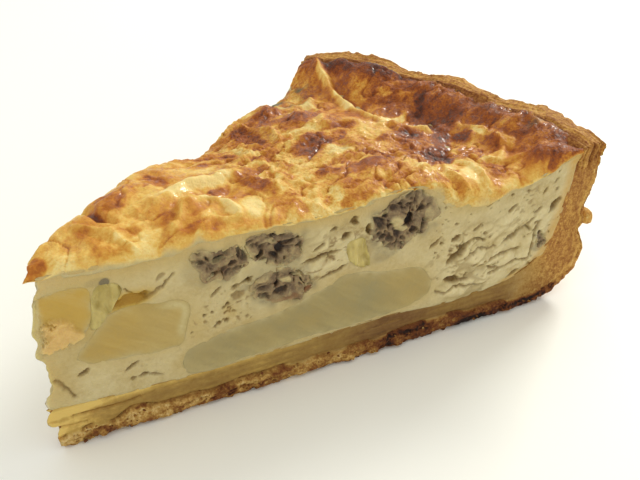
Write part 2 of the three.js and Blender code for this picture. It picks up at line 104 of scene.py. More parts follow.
def noise(p, size, seed=0):
    # Smooth value noise from -1 to 1 whose lumps are about one size across; size may differ by axis
    q = p / np.array(size, float) + 1000.0
    cell = np.floor(q).astype(np.int64)
    t = q - cell
    t = t * t * t * (t * (t * 6 - 15) + 10)
    i, j, k = cell.T
    u, v, w = t.T
    total = 0.0
    for di, fu in ((0, 1 - u), (1, u)):
        for dj, fv in ((0, 1 - v), (1, v)):
            for dk, fw in ((0, 1 - w), (1, w)):
                total = total + fu * fv * fw * latticeValue(i + di, j + dj, k + dk, seed)
    return total


def layeredNoise(p, size, seed, octaves=4, fade=0.5):
    # Noise of halving sizes, each weaker than the last
    total, weight, share = 0.0, 0.0, 1.0
    for octave in range(octaves):
        total = total + share * noise(p, np.array(size, float) / 2 ** octave, seed + 17 * octave)
        weight += share
        share *= fade
    return total / weight


def cellDistance(p, size, seed):
    # Distance to the nearest of one random point per cell, and to the next nearest, in cells
    q = p / np.array(size, float) + 500.0
    cell = np.floor(q).astype(np.int64)
    nearest = np.full(len(p), 9.0)
    second = np.full(len(p), 9.0)
    for di in (-1, 0, 1):
        for dj in (-1, 0, 1):
            for dk in (-1, 0, 1):
                i, j, k = cell[:, 0] + di, cell[:, 1] + dj, cell[:, 2] + dk
                dx = i + 0.5 + 0.45 * latticeValue(i, j, k, seed) - q[:, 0]
                dy = j + 0.5 + 0.45 * latticeValue(i, j, k, seed + 1) - q[:, 1]
                dz = k + 0.5 + 0.45 * latticeValue(i, j, k, seed + 2) - q[:, 2]
                d = np.sqrt(dx * dx + dy * dy + dz * dz)
                second = np.minimum(second, np.maximum(nearest, d))
                nearest = np.minimum(nearest, d)
    return nearest, second


def flat(x, y):
    # Places of a plane as points of space, as the noises need
    return np.stack([x, y, np.zeros_like(x)], 1)


def blob(x, y, middleX, middleY, halfLength, halfWidth, turn):
    # 1 in the middle of an ellipse turned by so many degrees, 0 a little past its edge
    cosine, sine = math.cos(math.radians(turn)), math.sin(math.radians(turn))
    dx, dy = x - middleX, y - middleY
    along = (dx * cosine + dy * sine) / halfLength
    sideways = (dy * cosine - dx * sine) / halfWidth
    return np.exp(-1.2 * (along * along + sideways * sideways))


def patches(x, y, ellipses, sharp=False):
    # Sum of turned bells, each row: x, y, half length, half width, turn in degrees, size.
    # Sharp ones are level inside and end within a narrow rim.
    total = np.zeros_like(x)
    for *ellipse, size in ellipses:
        bell = blob(x, y, *ellipse)
        total += size * (smoothStep(bell, 0.22, 0.6) if sharp else bell)
    return total


def lineDistance(x, y, points):
    # Distance to a line through the points
    best = np.full(np.shape(x), 99.0)
    for (ax, ay), (bx, by) in zip(points[:-1], points[1:]):
        length = math.hypot(bx - ax, by - ay)
        t = np.clip(((x - ax) * (bx - ax) + (y - ay) * (by - ay)) / length ** 2, 0, 1)
        best = np.minimum(best, np.hypot(x - ax - t * (bx - ax), y - ay - t * (by - ay)))
    return best


# Mesh helpers

def stripFaces(rows, strides, width):
    # Faces between rows of points, each row with its own stride along the width; where two
    # strides differ the coarse edge is joined to the fine ones by a fan. Corners are (row, column).
    quads, triangles = [], []
    for near, far, nearStep, farStep in zip(rows[:-1], rows[1:], strides[:-1], strides[1:]):
        if nearStep == farStep:
            a = np.arange(0, width, nearStep)
            corners = [(near, a), (far, a), (far, a + nearStep), (near, a + nearStep)]
            quads.append(np.stack([np.stack([np.full_like(a, r), c], 1) for r, c in corners], 1))
            continue
        coarse, fine = max(nearStep, farStep), min(nearStep, farStep)
        start = np.arange(0, width, coarse)
        middle = start + fine * (coarse // fine // 2)
        f = np.arange(0, width, fine)
        anchor = f // coarse * coarse
        anchor = np.where(f - anchor >= middle[0], anchor + coarse, anchor)
        if nearStep > farStep:
            wide = [(near, start), (far, middle), (near, start + coarse)]
            slim = [(near, anchor), (far, f), (far, f + fine)]
        else:
            wide = [(near, middle), (far, start), (far, start + coarse)]
            slim = [(near, f), (far, anchor), (near, f + fine)]
        for corners in (wide, slim):
            triangles.append(np.stack([np.stack([np.full_like(c, r), c], 1) for r, c in corners], 1))
    empty3, empty4 = np.zeros((0, 3, 2), int), np.zeros((0, 4, 2), int)
    return (np.concatenate(quads) if quads else empty4,
            np.concatenate(triangles) if triangles else empty3)


def blockMesh(counts, patches):
    # Skin of a block of cells. Each patch is (faces, axes): axes puts (row, column) into (u, v, w)
    # and says whether the patch is turned over. Gives places from 0 to 1 and the faces on them.
    nu, nv, nw = counts
    keys = []
    for (quads, triangles), (rowAxis, columnAxis, fixedAxis, fixedAt, turned) in patches:
        for faces in (quads, triangles):
            spot = np.zeros(faces.shape[:2] + (3,), np.int64)
            spot[..., rowAxis] = faces[..., 0]
            spot[..., columnAxis] = faces[..., 1]
            spot[..., fixedAxis] = fixedAt
            key = (spot[..., 0] * (nv + 1) + spot[..., 1]) * (nw + 1) + spot[..., 2]
            keys.append(key[:, ::-1] if turned else key)
    unique, index = np.unique(np.concatenate([k.ravel() for k in keys]), return_inverse=True)
    faces, start = [], 0
    for k in keys:
        faces.append(index[start:start + k.size].reshape(k.shape))
        start += k.size
    u = unique // ((nv + 1) * (nw + 1)) / nu
    v = unique // (nw + 1) % (nv + 1) / nv
    w = unique % (nw + 1) / nw
    return u, v, w, faces


def addObject(name, data):
    # Object at the origin, linked to the scene
    made = bpy.data.objects.new(name, data)
    bpy.context.scene.collection.objects.link(made)
    return made


def addPiece(name, points, faces, material, node, marks):
    # Mesh object at the origin from points in millimetres, with one point attribute for each mark
    mesh = bpy.data.meshes.new(name)
    lists = [f.tolist() for f in faces if len(f)]
    mesh.from_pydata((points * metre).tolist(), [], [face for group in lists for face in group])
    mesh.polygons.foreach_set("use_smooth", np.ones(len(mesh.polygons), bool))
    for mark, values in marks.items():
        layer = mesh.attributes.new(mark, "FLOAT", "POINT")
        layer.data.foreach_set("value", np.asarray(values, np.float32))
    mesh.materials.append(material)
    mesh.validate()
    mesh.update()
    piece = addObject(name, mesh)
    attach(piece, "root")
    if node:
        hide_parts(node)
    triangles = sum(len(f) * (f.shape[1] - 2) for f in faces if len(f))
    print(f"{name}: {len(points)} points, {triangles} triangles")


# Material helpers

def linear(hexColour):
    # Linear colour of an sRGB hex string
    parts = [int(hexColour[i:i + 2], 16) / 255 for i in (0, 2, 4)]
    return tuple(c / 12.92 if c <= 0.04045 else ((c + 0.055) / 1.055) ** 2.4 for c in parts) + (1.0,)


class Wire:
    # One output of a material's nodes; arithmetic on wires adds Math nodes
    def __init__(self, tree, socket=None):
        self.tree = tree
        self.socket = socket

    def node(self, kind, settings=None, inputs=None, output=0):
        # Any node: its settings first, then values or wires for its inputs
        made = self.tree.nodes.new(kind)
        for name, value in (settings or {}).items():
            if name == "stops":
                ramp = made.color_ramp
                while len(ramp.elements) < len(value):
                    ramp.elements.new(0.5)
                for element, (place, colour) in zip(ramp.elements, value):
                    element.position = place
                    element.color = colour
            else:
                setattr(made, name, value)
        for name, value in (inputs or {}).items():
            if isinstance(value, Wire):
                self.tree.links.new(value.socket, made.inputs[name])
            else:
                made.inputs[name].default_value = value
        return Wire(self.tree, made.outputs[output])

    def math(self, operation, first, second):
        return self.node("ShaderNodeMath", {"operation": operation}, {0: first, 1: second})

    def __add__(self, other):
        return self.math("ADD", self, other)

    __radd__ = __add__

    def __mul__(self, other):
        return self.math("MULTIPLY", self, other)

    __rmul__ = __mul__

    def __sub__(self, other):
        return self.math("SUBTRACT", self, other)

    def __rsub__(self, other):
        return self.math("SUBTRACT", other, self)

    def clip(self):
        return self.node("ShaderNodeClamp", None, {"Value": self})

    def between(self, low, high):
        # 0 below low, 1 above high, smooth between
        return self.node("ShaderNodeMapRange", {"interpolation_type": "SMOOTHSTEP"},
                         {"Value": self, "From Min": low, "From Max": high})

    def blend(self, first, second):
        # Colour from first to second as this goes from 0 to 1
        return self.node("ShaderNodeMix", {"data_type": "RGBA"}, {0: self, 6: first, 7: second}, 2)


class Finish:
    # A material being made: its places, marks and noises, and at the end its surface
    def __init__(self, name):
        self.material = bpy.data.materials.new(name)
        self.material.use_nodes = True
        self.tree = self.material.node_tree
        self.tree.nodes.clear()
        self.start = Wire(self.tree)
        self.place = self.start.node("ShaderNodeTexCoord", output="Object")

    def mark(self, name):
        # One of the piece's point attributes
        return self.start.node("ShaderNodeAttribute", {"attribute_name": name}, output="Fac")

    def grain(self, size, detail=3.0, rough=0.5, warp=0.0):
        # Noise from 0 to 1 with lumps of about this many millimetres
        return self.start.node("ShaderNodeTexNoise", {"normalize": True},
                               {"Vector": self.place, "Scale": 1.0 / (size * metre), "Detail": detail,
                                "Roughness": rough, "Distortion": warp})

    def tint(self, colour, mark, share, paint):
        # The colour with paint over it where the mark times the share is high
        return (self.mark(mark) * share).clip().blend(colour, linear(paint))

    def surface(self, colour, roughness, height, bumpSize, constants, coat=0.0):
        # Principled surface: colour, roughness and coat vary, and the height becomes bump, as deep as the
        # bump size in millimetres where it is 1
        bumped = self.start.node("ShaderNodeBump", None,
                                 {"Height": height, "Strength": 1.0, "Distance": bumpSize * metre})
        shader = self.tree.nodes.new("ShaderNodeBsdfPrincipled")
        for name, value in constants.items():
            shader.inputs[name].default_value = value
        for name, value in (("Base Color", colour), ("Roughness", roughness), ("Coat Weight", coat),
                            ("Normal", bumped)):
            if isinstance(value, Wire):
                self.tree.links.new(value.socket, shader.inputs[name])
            else:
                shader.inputs[name].default_value = value
        output = self.tree.nodes.new("ShaderNodeOutputMaterial")
        self.tree.links.new(shader.outputs[0], output.inputs["Surface"])
        return self.material


# The fan and the lines that the pieces share

def fanPoint(radius, across, height):
    # Point at a radius from the apex, an angle set by the share across, and a height
    angle = halfAngle * (2 * across - 1)
    return np.stack([apexX + radius * np.cos(angle), radius * np.sin(angle), height], 1)


def fanPlace(x, y):
    # Radius and share across of a place, the other way round
    across = np.clip((np.arctan2(y, x - apexX) / halfAngle + 1) / 2, 0, 1)
    return np.hypot(x - apexX, y), across


def pushOut(p, v, push):
    # Moves the points on each cut straight out of it by the push
    for side, cutName in cuts:
        p += np.where(v == side, push, 0)[:, None] * cutOut[cutName]


def catmullRom(points, count):
    # Closed centripetal Catmull-Rom curve through the points, as evenly spaced places along it
    p = np.array(points, float)
    p = np.concatenate([p[-1:], p, p[:2]])
    gap = np.sqrt(np.linalg.norm(np.diff(p, axis=0), axis=1))[:, None]
    a, b, c, d = p[:-3], p[1:-2], p[2:-1], p[3:]
    ga, gb, gc = gap[:-2], gap[1:-1], gap[2:]
    leave = gb * ((b - a) / ga - (c - a) / (ga + gb) + (c - b) / gb)
    reach = gb * ((c - b) / gb - (d - b) / (gb + gc) + (d - c) / gc)
    t = np.linspace(0, 1, 16, endpoint=False)[None, :, None]
    b, c, leave, reach = b[:, None], c[:, None], leave[:, None], reach[:, None]
    curve = (b * (2 * t ** 3 - 3 * t ** 2 + 1) + leave * (t ** 3 - 2 * t ** 2 + t)
             + c * (3 * t ** 2 - 2 * t ** 3) + reach * (t ** 3 - t ** 2)).reshape(-1, 2)
    curve = np.concatenate([curve, p[-2:-1]])
    run = np.concatenate([[0], np.cumsum(np.linalg.norm(np.diff(curve, axis=0), axis=1))])
    at = np.linspace(0, run[-1], count, endpoint=False)
    return np.stack([np.interp(at, run, curve[:, 0]), np.interp(at, run, curve[:, 1])], 1)


def insideBy(along, height, outline):
    # How far a place on a cut is inside a closed outline, less than 0 outside it
    nextPoint = np.roll(outline, -1, axis=0)
    best = np.full(along.shape, 99.0)
    crossings = np.zeros(along.shape, int)
    for (ax, ay), (bx, by) in zip(outline, nextPoint):
        ex, ey = bx - ax, by - ay
        t = np.clip(((along - ax) * ex + (height - ay) * ey) / (ex * ex + ey * ey), 0, 1)
        best = np.minimum(best, np.hypot(along - ax - t * ex, height - ay - t * ey))
        spans = (ay > height) != (by > height)
        with np.errstate(divide="ignore", invalid="ignore"):
            crossings += spans & (along < ax + (height - ay) / ey * ex)
    return np.where(crossings % 2 == 1, best, -best)


# Height of the top by radius: on the shown cut, along the middle and on the hidden cut
topLines = {
    "front": curveThrough([
        (0, 34), (4, 34), (8, 35.2), (14, 35.6), (20, 35), (30, 34.6), (40, 34.2), (50, 34), (60, 34.6),
        (66, 35.3), (73, 34.6), (80, 31.5), (86, 30.4), (92, 30.6), (98, 31.4), (103, 33), (108, 34.9),
        (114, 35.3),
    ]),
    "middle": curveThrough([
        (0, 34), (4, 34.5), (10, 36), (20, 36.8), (30, 36.5), (45, 35.5), (60, 35.2), (72, 35.4),
        (80, 35), (88, 32.6), (94, 31.6), (100, 32.5), (106, 34.6), (114, 35.3),
    ]),
    "back": curveThrough([
        (0, 34), (4, 35), (8, 36.6), (17, 37), (27, 37.6), (38, 36.6), (50, 32.2), (58, 31), (67, 32.8),
        (75, 32.6), (88, 30), (97, 30.2), (104, 33), (108, 34.9), (114, 35.3),
    ]),
}
# Depth of the browned layer by radius, at the shown cut and away from it
cheeseAtFront = curveThrough([
    (0, 0.9), (4, 1.1), (8, 2.4), (14, 3.7), (24, 3.7), (32, 2.2), (40, 1.6), (56, 1.7), (64, 1.2),
    (70, 1.1), (75, 3.6), (80, 5.4), (86, 4.6), (92, 2.2), (100, 1.8), (114, 1.8),
])
cheeseElsewhere = curveThrough([
    (0, 1.8), (20, 3), (50, 2.4), (80, 3.2), (100, 1.9), (114, 1.8),
])
# Lumps, folds and hollows of the top: x, y, half length, half width, turn in degrees, rise
topForms = [
    (-53, 0, 3, 2, 0, 0.5), (-34.5, 5, 5, 2.6, 15, 0.9), (-22, 1.6, 9, 1.8, -5, 1),
    (-27, -6, 6, 4.4, -10, 1.3), (-19, -3.4, 3.5, 1.6, 20, -0.8), (-12, -6, 2.4, 5.5, 10, 0.8),
    (4, 15, 7.5, 3, 75, -0.9), (7.5, 0.4, 6.5, 4.6, 20, 0.8), (6.5, -15.5, 6, 4, 10, 1.2),
    (14.5, -13.5, 3.6, 1.8, 60, -1), (16, 24, 5, 3.6, 40, 1.5), (15.5, 13, 4, 3, 45, 1.1),
    (20, -26, 6.5, 4, -15, 1.4), (28, -17, 11, 2.6, 30, -1.3), (39.5, -19, 2, 8, 0, 0.9),
    (37, 21, 14, 1.8, 65, 0.5), (42, 23.6, 10, 2, 65, -0.9), (42, -6, 7, 5, -40, -0.8),
    (37.5, -33, 5, 2.8, -15, 2.2), (44, -36, 2.2, 2.6, 0, -1.4),
]


def topHeight(x, y):
    # Height of the browned top: the three lines joined by a parabola across, and the forms
    radius, across = fanPlace(x, y)
    height = topLines["front"](radius) * 2 * (across - 0.5) * (across - 1)
    height += topLines["middle"](radius) * 4 * across * (1 - across)
    height += topLines["back"](radius) * 2 * across * (across - 0.5)
    return height + patches(x, y, topForms)


def cheeseDepth(x, y):
    # The two depths blended by a bell of the share across
    radius, across = fanPlace(x, y)
    near = np.exp(-(across / 0.16) ** 2)
    return cheeseElsewhere(radius) * (1 - near) + cheeseAtFront(radius) * near


# Outline of the tip, as its radius on the shown cut by height, and of the rim, as its height by share
# across
tipLine = curveThrough([
    (0, 2.5), (3, 2.1), (4.2, 2.5), (5.2, 1.5), (6.2, 1.1), (7.6, 1.5), (8.2, 1.9), (9.2, 1.3),
    (10.2, 1.3), (11.2, 1.9), (12.2, 2.9), (16, 2.7), (18, 2.6), (19.2, 1.7), (20.4, 1.9), (22, 2.6),
    (24, 2.1), (26, 2.6), (30, 3.2), (31.5, 4.2), (33, 3.8), (36, 3.4),
])
rimLine = curveThrough([
    (0, 35.1), (0.07, 35.9), (0.21, 36.6), (0.34, 35.4), (0.5, 37), (0.64, 36), (0.72, 37.2),
    (0.86, 37.7), (0.94, 36.6), (1, 35.4),
])

# Inner line of the pastry: its height along the base and its radius up the wall
baseInside = curveThrough([
    (3.3, 8.9), (12, 8), (28, 7.4), (46, 7.6), (64, 7.8), (80, 6.8), (92, 8),
])
wallInside = curveThrough([
    (8, 92), (10, 98.5), (12.6, 101.3), (15, 102.6), (18, 103.4), (21, 104.4), (25, 105.4), (29, 106),
    (32.4, 106.2), (35.3, 109.2),
])

# Pieces that show on a cut: which cut, depth into the food, roundness, outline as (radius, height)
insets = {
    "potato_slab": ("front", 13, 0.75, [(24.5, 8.2), (48, 8.1), (69, 8.3), (74.6, 10.8), (72.6, 16.4),
        (62, 18.8), (55.5, 20), (51, 18.2), (42, 15.6), (30, 14.4), (24.4, 12.4)]),
    "potato_cube": ("front", 12, 0.9, [(7.2, 17.4), (9, 15.8), (16.2, 14.8), (21.4, 14), (24.6, 14.8),
        (25.6, 17.6), (26.5, 21), (26, 23), (20.4, 24.3), (16, 24.8), (13.4, 24.2), (10.6, 21.4)]),
    "potato_tip": ("front", 9, 0.95, [(1.2, 19.4), (6.6, 20.4), (10, 22.6), (11, 26.6), (10.8, 30),
        (5, 30.6), (1.2, 29.4)]),
    "onion_strip": ("front", 5, 0.85, [(10.4, 22), (12.2, 22.8), (13.9, 25), (16, 28.2), (15, 29.8),
        (12.2, 30), (10.9, 26.4)]),
    "onion_leaf": ("front", 5, 0.8, [(55.6, 26.8), (55.2, 24), (57.4, 21.2), (60.4, 20.4), (60.2, 23.6),
        (59.4, 26.6), (57.4, 27.2)]),
    "blue_cheese_1": ("front", 7, 0.8, [(27.4, 30.6), (28.6, 26.6), (32, 25), (36.2, 26.6), (37, 30),
        (33.4, 31.4)]),
    "blue_cheese_2": ("front", 7.5, 0.8, [(37.6, 31.6), (37.6, 28), (40.6, 26), (46, 25.6),
        (47.6, 28.6), (46, 31.4), (41.6, 32.4)]),
    "blue_cheese_3": ("front", 7, 0.8, [(37.6, 22), (39.8, 19), (45, 17.4), (49, 18.8), (48.6, 22.4),
        (46, 24.4), (40, 25)]),
    "blue_cheese_4": ("front", 9, 0.85, [(60.4, 30.4), (61, 25.8), (65, 22), (70.4, 24.4), (74, 27),
        (73.6, 30.8), (71, 33.4), (67, 34.2), (64, 32.8)]),
    "blue_cheese_5": ("front", 4, 0.8, [(98.6, 16.6), (100, 13.6), (102, 14), (101.6, 17), (100, 18.2)]),
    "potato_back_1": ("back", 12, 0.8, [(30, 9), (50, 8.8), (63, 9.2), (65, 13), (60, 18.4), (48, 19.6),
        (36, 17.4), (29, 13)]),
    "potato_back_2": ("back", 11, 0.85, [(70, 10.6), (80, 9.2), (87, 10.4), (88, 16), (84, 21),
        (75, 21.4), (69.4, 16.6)]),
    "blue_cheese_back_1": ("back", 8, 0.8, [(42, 27.6), (44.6, 23.4), (50.6, 22.2), (55, 24.6),
        (52.6, 27.4), (47, 28.8)]),
    "blue_cheese_back_2": ("back", 7.5, 0.8, [(92.6, 23), (94, 20), (98.4, 19.4), (100.6, 22), (99, 25),
        (95, 26)]),
}
outlines = {name: catmullRom(piece[3], 96) for name, piece in insets.items()}


def wander(along, height, size):
    # Sideways wander of a piece's edge on its cut, the same for the piece and for its pocket
    p = flat(along, height)
    return [size * (noise(p, 2.4, seed) + 0.3 * noise(p, 1.2, seed + 2)) for seed in (201, 202)]


edgeWander = {"potato": 0.16, "onion": 0.25, "blue": 0.75}    # mm


# Pastry: flaky shell under the filling and up the rim

pastry = {
    "rowsOnBase": 384,
    "rowsOnWall": 144,
    "across": 208,        # cells across the wall; the hidden parts have one for every 16
    "through": 32,        # cells through the shell's thickness
    "coarse": 16,
    "footOut": 0.85,      # mm that the flaky under layer stands out of the cut
    "crumbRelief": 0.5,
    "wallStep": 0.27,     # mm between rows on the wall
    "baseLength": 97,
    "finerFrom": 24,      # rows before the wall where the outside turns fine
    "baseStations": 6,    # of the profile's stations, the last one under the filling
    "stuckCrumb": {"arc": -40.6, "height": 17.4, "size": 1.9, "rise": 1.2},
    # Profile from the tip to the top of the rim, inside and outside: radius, height
    "inner": [
        (2.2, 8.9), (12, 8), (28, 7.4), (46, 7.6), (64, 7.8), (80, 6.8), (92, 8), (98.5, 10),
        (101.3, 12.6), (102.6, 15), (103.4, 18), (104.4, 21), (105.4, 25), (106, 29), (106.2, 32.4),
        (109.2, 35.3),
    ],
    "outer": [
        (2.6, 0), (12, 0), (28, 0), (46, 0), (64, 0), (82, 0), (97, 0), (103.6, 0.5), (109.4, 3.8),
        (112.2, 6.8), (113, 10.5), (111, 15.6), (111.4, 21.6), (113.2, 27.6), (113.2, 31.6), (114, 35),
    ],
    # Dark and burnt places of the under layer: radius, height, half sizes, turn, amount
    "scorched": [
        (9, 1.2, 3, 1.2, 0, 0.4), (31, 1.8, 3, 1.2, 10, 0.3), (38, 1, 3, 0.8, 0, 0.2),
        (43, 2.9, 4, 0.5, 5, 0.25), (66, 2.2, 6, 1.4, 5, 0.14), (72.5, 2.4, 3.4, 1.5, 10, 0.2),
        (84, 0.8, 4.6, 1.4, 0, 0.45), (90, 1.4, 5, 1.2, 5, 0.2), (99, 3.2, 5, 2.8, 25, 0.3),
        (104, 3, 2.6, 1.6, 30, 0.2),
    ],
    # Golden lumps along the foot: radius, height, half sizes, turn, size
    "footLumps": [
        (9.2, 1.2, 0.8, 0.8, 0, 0.6), (20, 1, 1.4, 0.9, 0, 0.4), (56.2, 1.1, 1.3, 0.9, 0, 0.7),
        (61.4, 1, 1.2, 0.8, 0, 0.7), (67, 1.1, 1.3, 0.8, 0, 0.6), (46, 1.2, 1.2, 0.8, 0, 0.4),
        (93, 1, 1.6, 0.8, 0, 0.4), (38, 1.2, 1.4, 0.8, 10, 0.4),
    ],
    # Slits in the dough: line as radius and height, half width, depth
    "slits": [
        ([(5, 6.1), (9, 5.8), (13.4, 5.6), (16.4, 6)], 0.22, 0.9), ([(2, 4.4), (7, 4.2)], 0.2, 0.6),
        ([(18, 6.3), (26, 6.1)], 0.12, 0.3), ([(2, 8.3), (9, 8.3)], 0.2, 0.5),
        ([(30, 5.6), (44, 5.8)], 0.12, 0.25), ([(60, 5.4), (68, 5.8)], 0.2, 0.4),
        ([(80, 6.6), (84, 7.1)], 0.35, 0.8),
    ],
}
# Height of the flaky under layer on the shown cut by the run along the shell from the tip
flakeLine = curveThrough([
    (3, 2.4), (10, 2.8), (15, 2.6), (20, 4.2), (24, 3.6), (30, 3), (45, 3.1), (60, 3), (75, 3.6),
    (90, 3.2), (98, 2.6), (106, 1.2), (140, 1.2),
])
# How brown the smooth inner dough is, by the same run: 0 pale yellow, 1 brown
doughTone = curveThrough([
    (2, 0), (8, 0.08), (14, 0.32), (24, 0.36), (46, 0.4), (56, 0.5), (62, 0.85), (70, 0.8), (80, 0.62),
    (92, 0.66), (100, 0.6), (106, 0.34), (118, 0.26), (136, 0.5),
])


def profile(stations, at):
    # Radius and height along a profile, as smooth curves through its numbered stations
    return [curveThrough(list(enumerate(column)))(at) for column in zip(*stations)]


def crustBlock():
    # Lattice of the shell: rows from the tip to the rim, cells across the slice, cells through the wall.
    # Both cuts, the wall's outside and the rim's top are fine, and the other faces are coarse.
    nu = pastry["rowsOnBase"] + pastry["rowsOnWall"]
    nv, nw, coarse = pastry["across"], pastry["through"], pastry["coarse"]
    rows = np.arange(nu + 1)
    outerSteps = np.where(rows < pastry["rowsOnBase"] - pastry["finerFrom"], coarse, 1)
    innerSteps = np.where(rows < nu, coarse, 1)
    thickness = np.arange(nw + 1)
    single = np.ones(nu + 1, int)
    u, v, w, faces = blockMesh((nu, nv, nw), [
        (stripFaces(rows, outerSteps, nv), (0, 1, 2, 0, True)),
        (stripFaces(rows, innerSteps, nv), (0, 1, 2, nw, False)),
        (stripFaces(thickness, np.full(nw + 1, coarse), nv), (2, 1, 0, 0, False)),
        (stripFaces(thickness, np.ones(nw + 1, int), nv), (2, 1, 0, nu, True)),
        (stripFaces(rows, single, nw), (0, 2, 1, 0, False)),
        (stripFaces(rows, single, nw), (0, 2, 1, nv, True)),
    ])
    return u * nu, v, w, faces


def wallRelief(wall, v):
    # Outer wall: long waves, torn flakes, a grain and the stuck crumb, as radial moves. The waves and
    # flakes fade towards the shown cut, which nearly keeps its profile.
    away = 0.2 + 0.8 * smoothStep(v, 0, 0.08)
    wave = 0.7 * noise(wall, (7, 6, 30), 31) + 0.4 * layeredNoise(wall, (3, 3.4, 9), 35, 3)
    flakes = cellDistance(wall, (3.4, 2.6, 8), 36)
    torn = 0.5 * smoothStep(flakes[1] - flakes[0], 0.0, 0.35) * noise(wall, (4, 3, 9), 38)
    pebble = 0.3 * layeredNoise(wall, (1.2, 1.1, 5), 34, 3)
    stuck = pastry["stuckCrumb"]
    crumb = ((wall[:, 0] - stuck["arc"]) ** 2 + (wall[:, 1] - stuck["height"]) ** 2) / stuck["size"] ** 2
    crumb = np.exp(-crumb ** 2) * (1 + 0.2 * noise(wall, 1.4, 39))
    return away * (wave + torn) + pebble + stuck["rise"] * crumb, torn, crumb


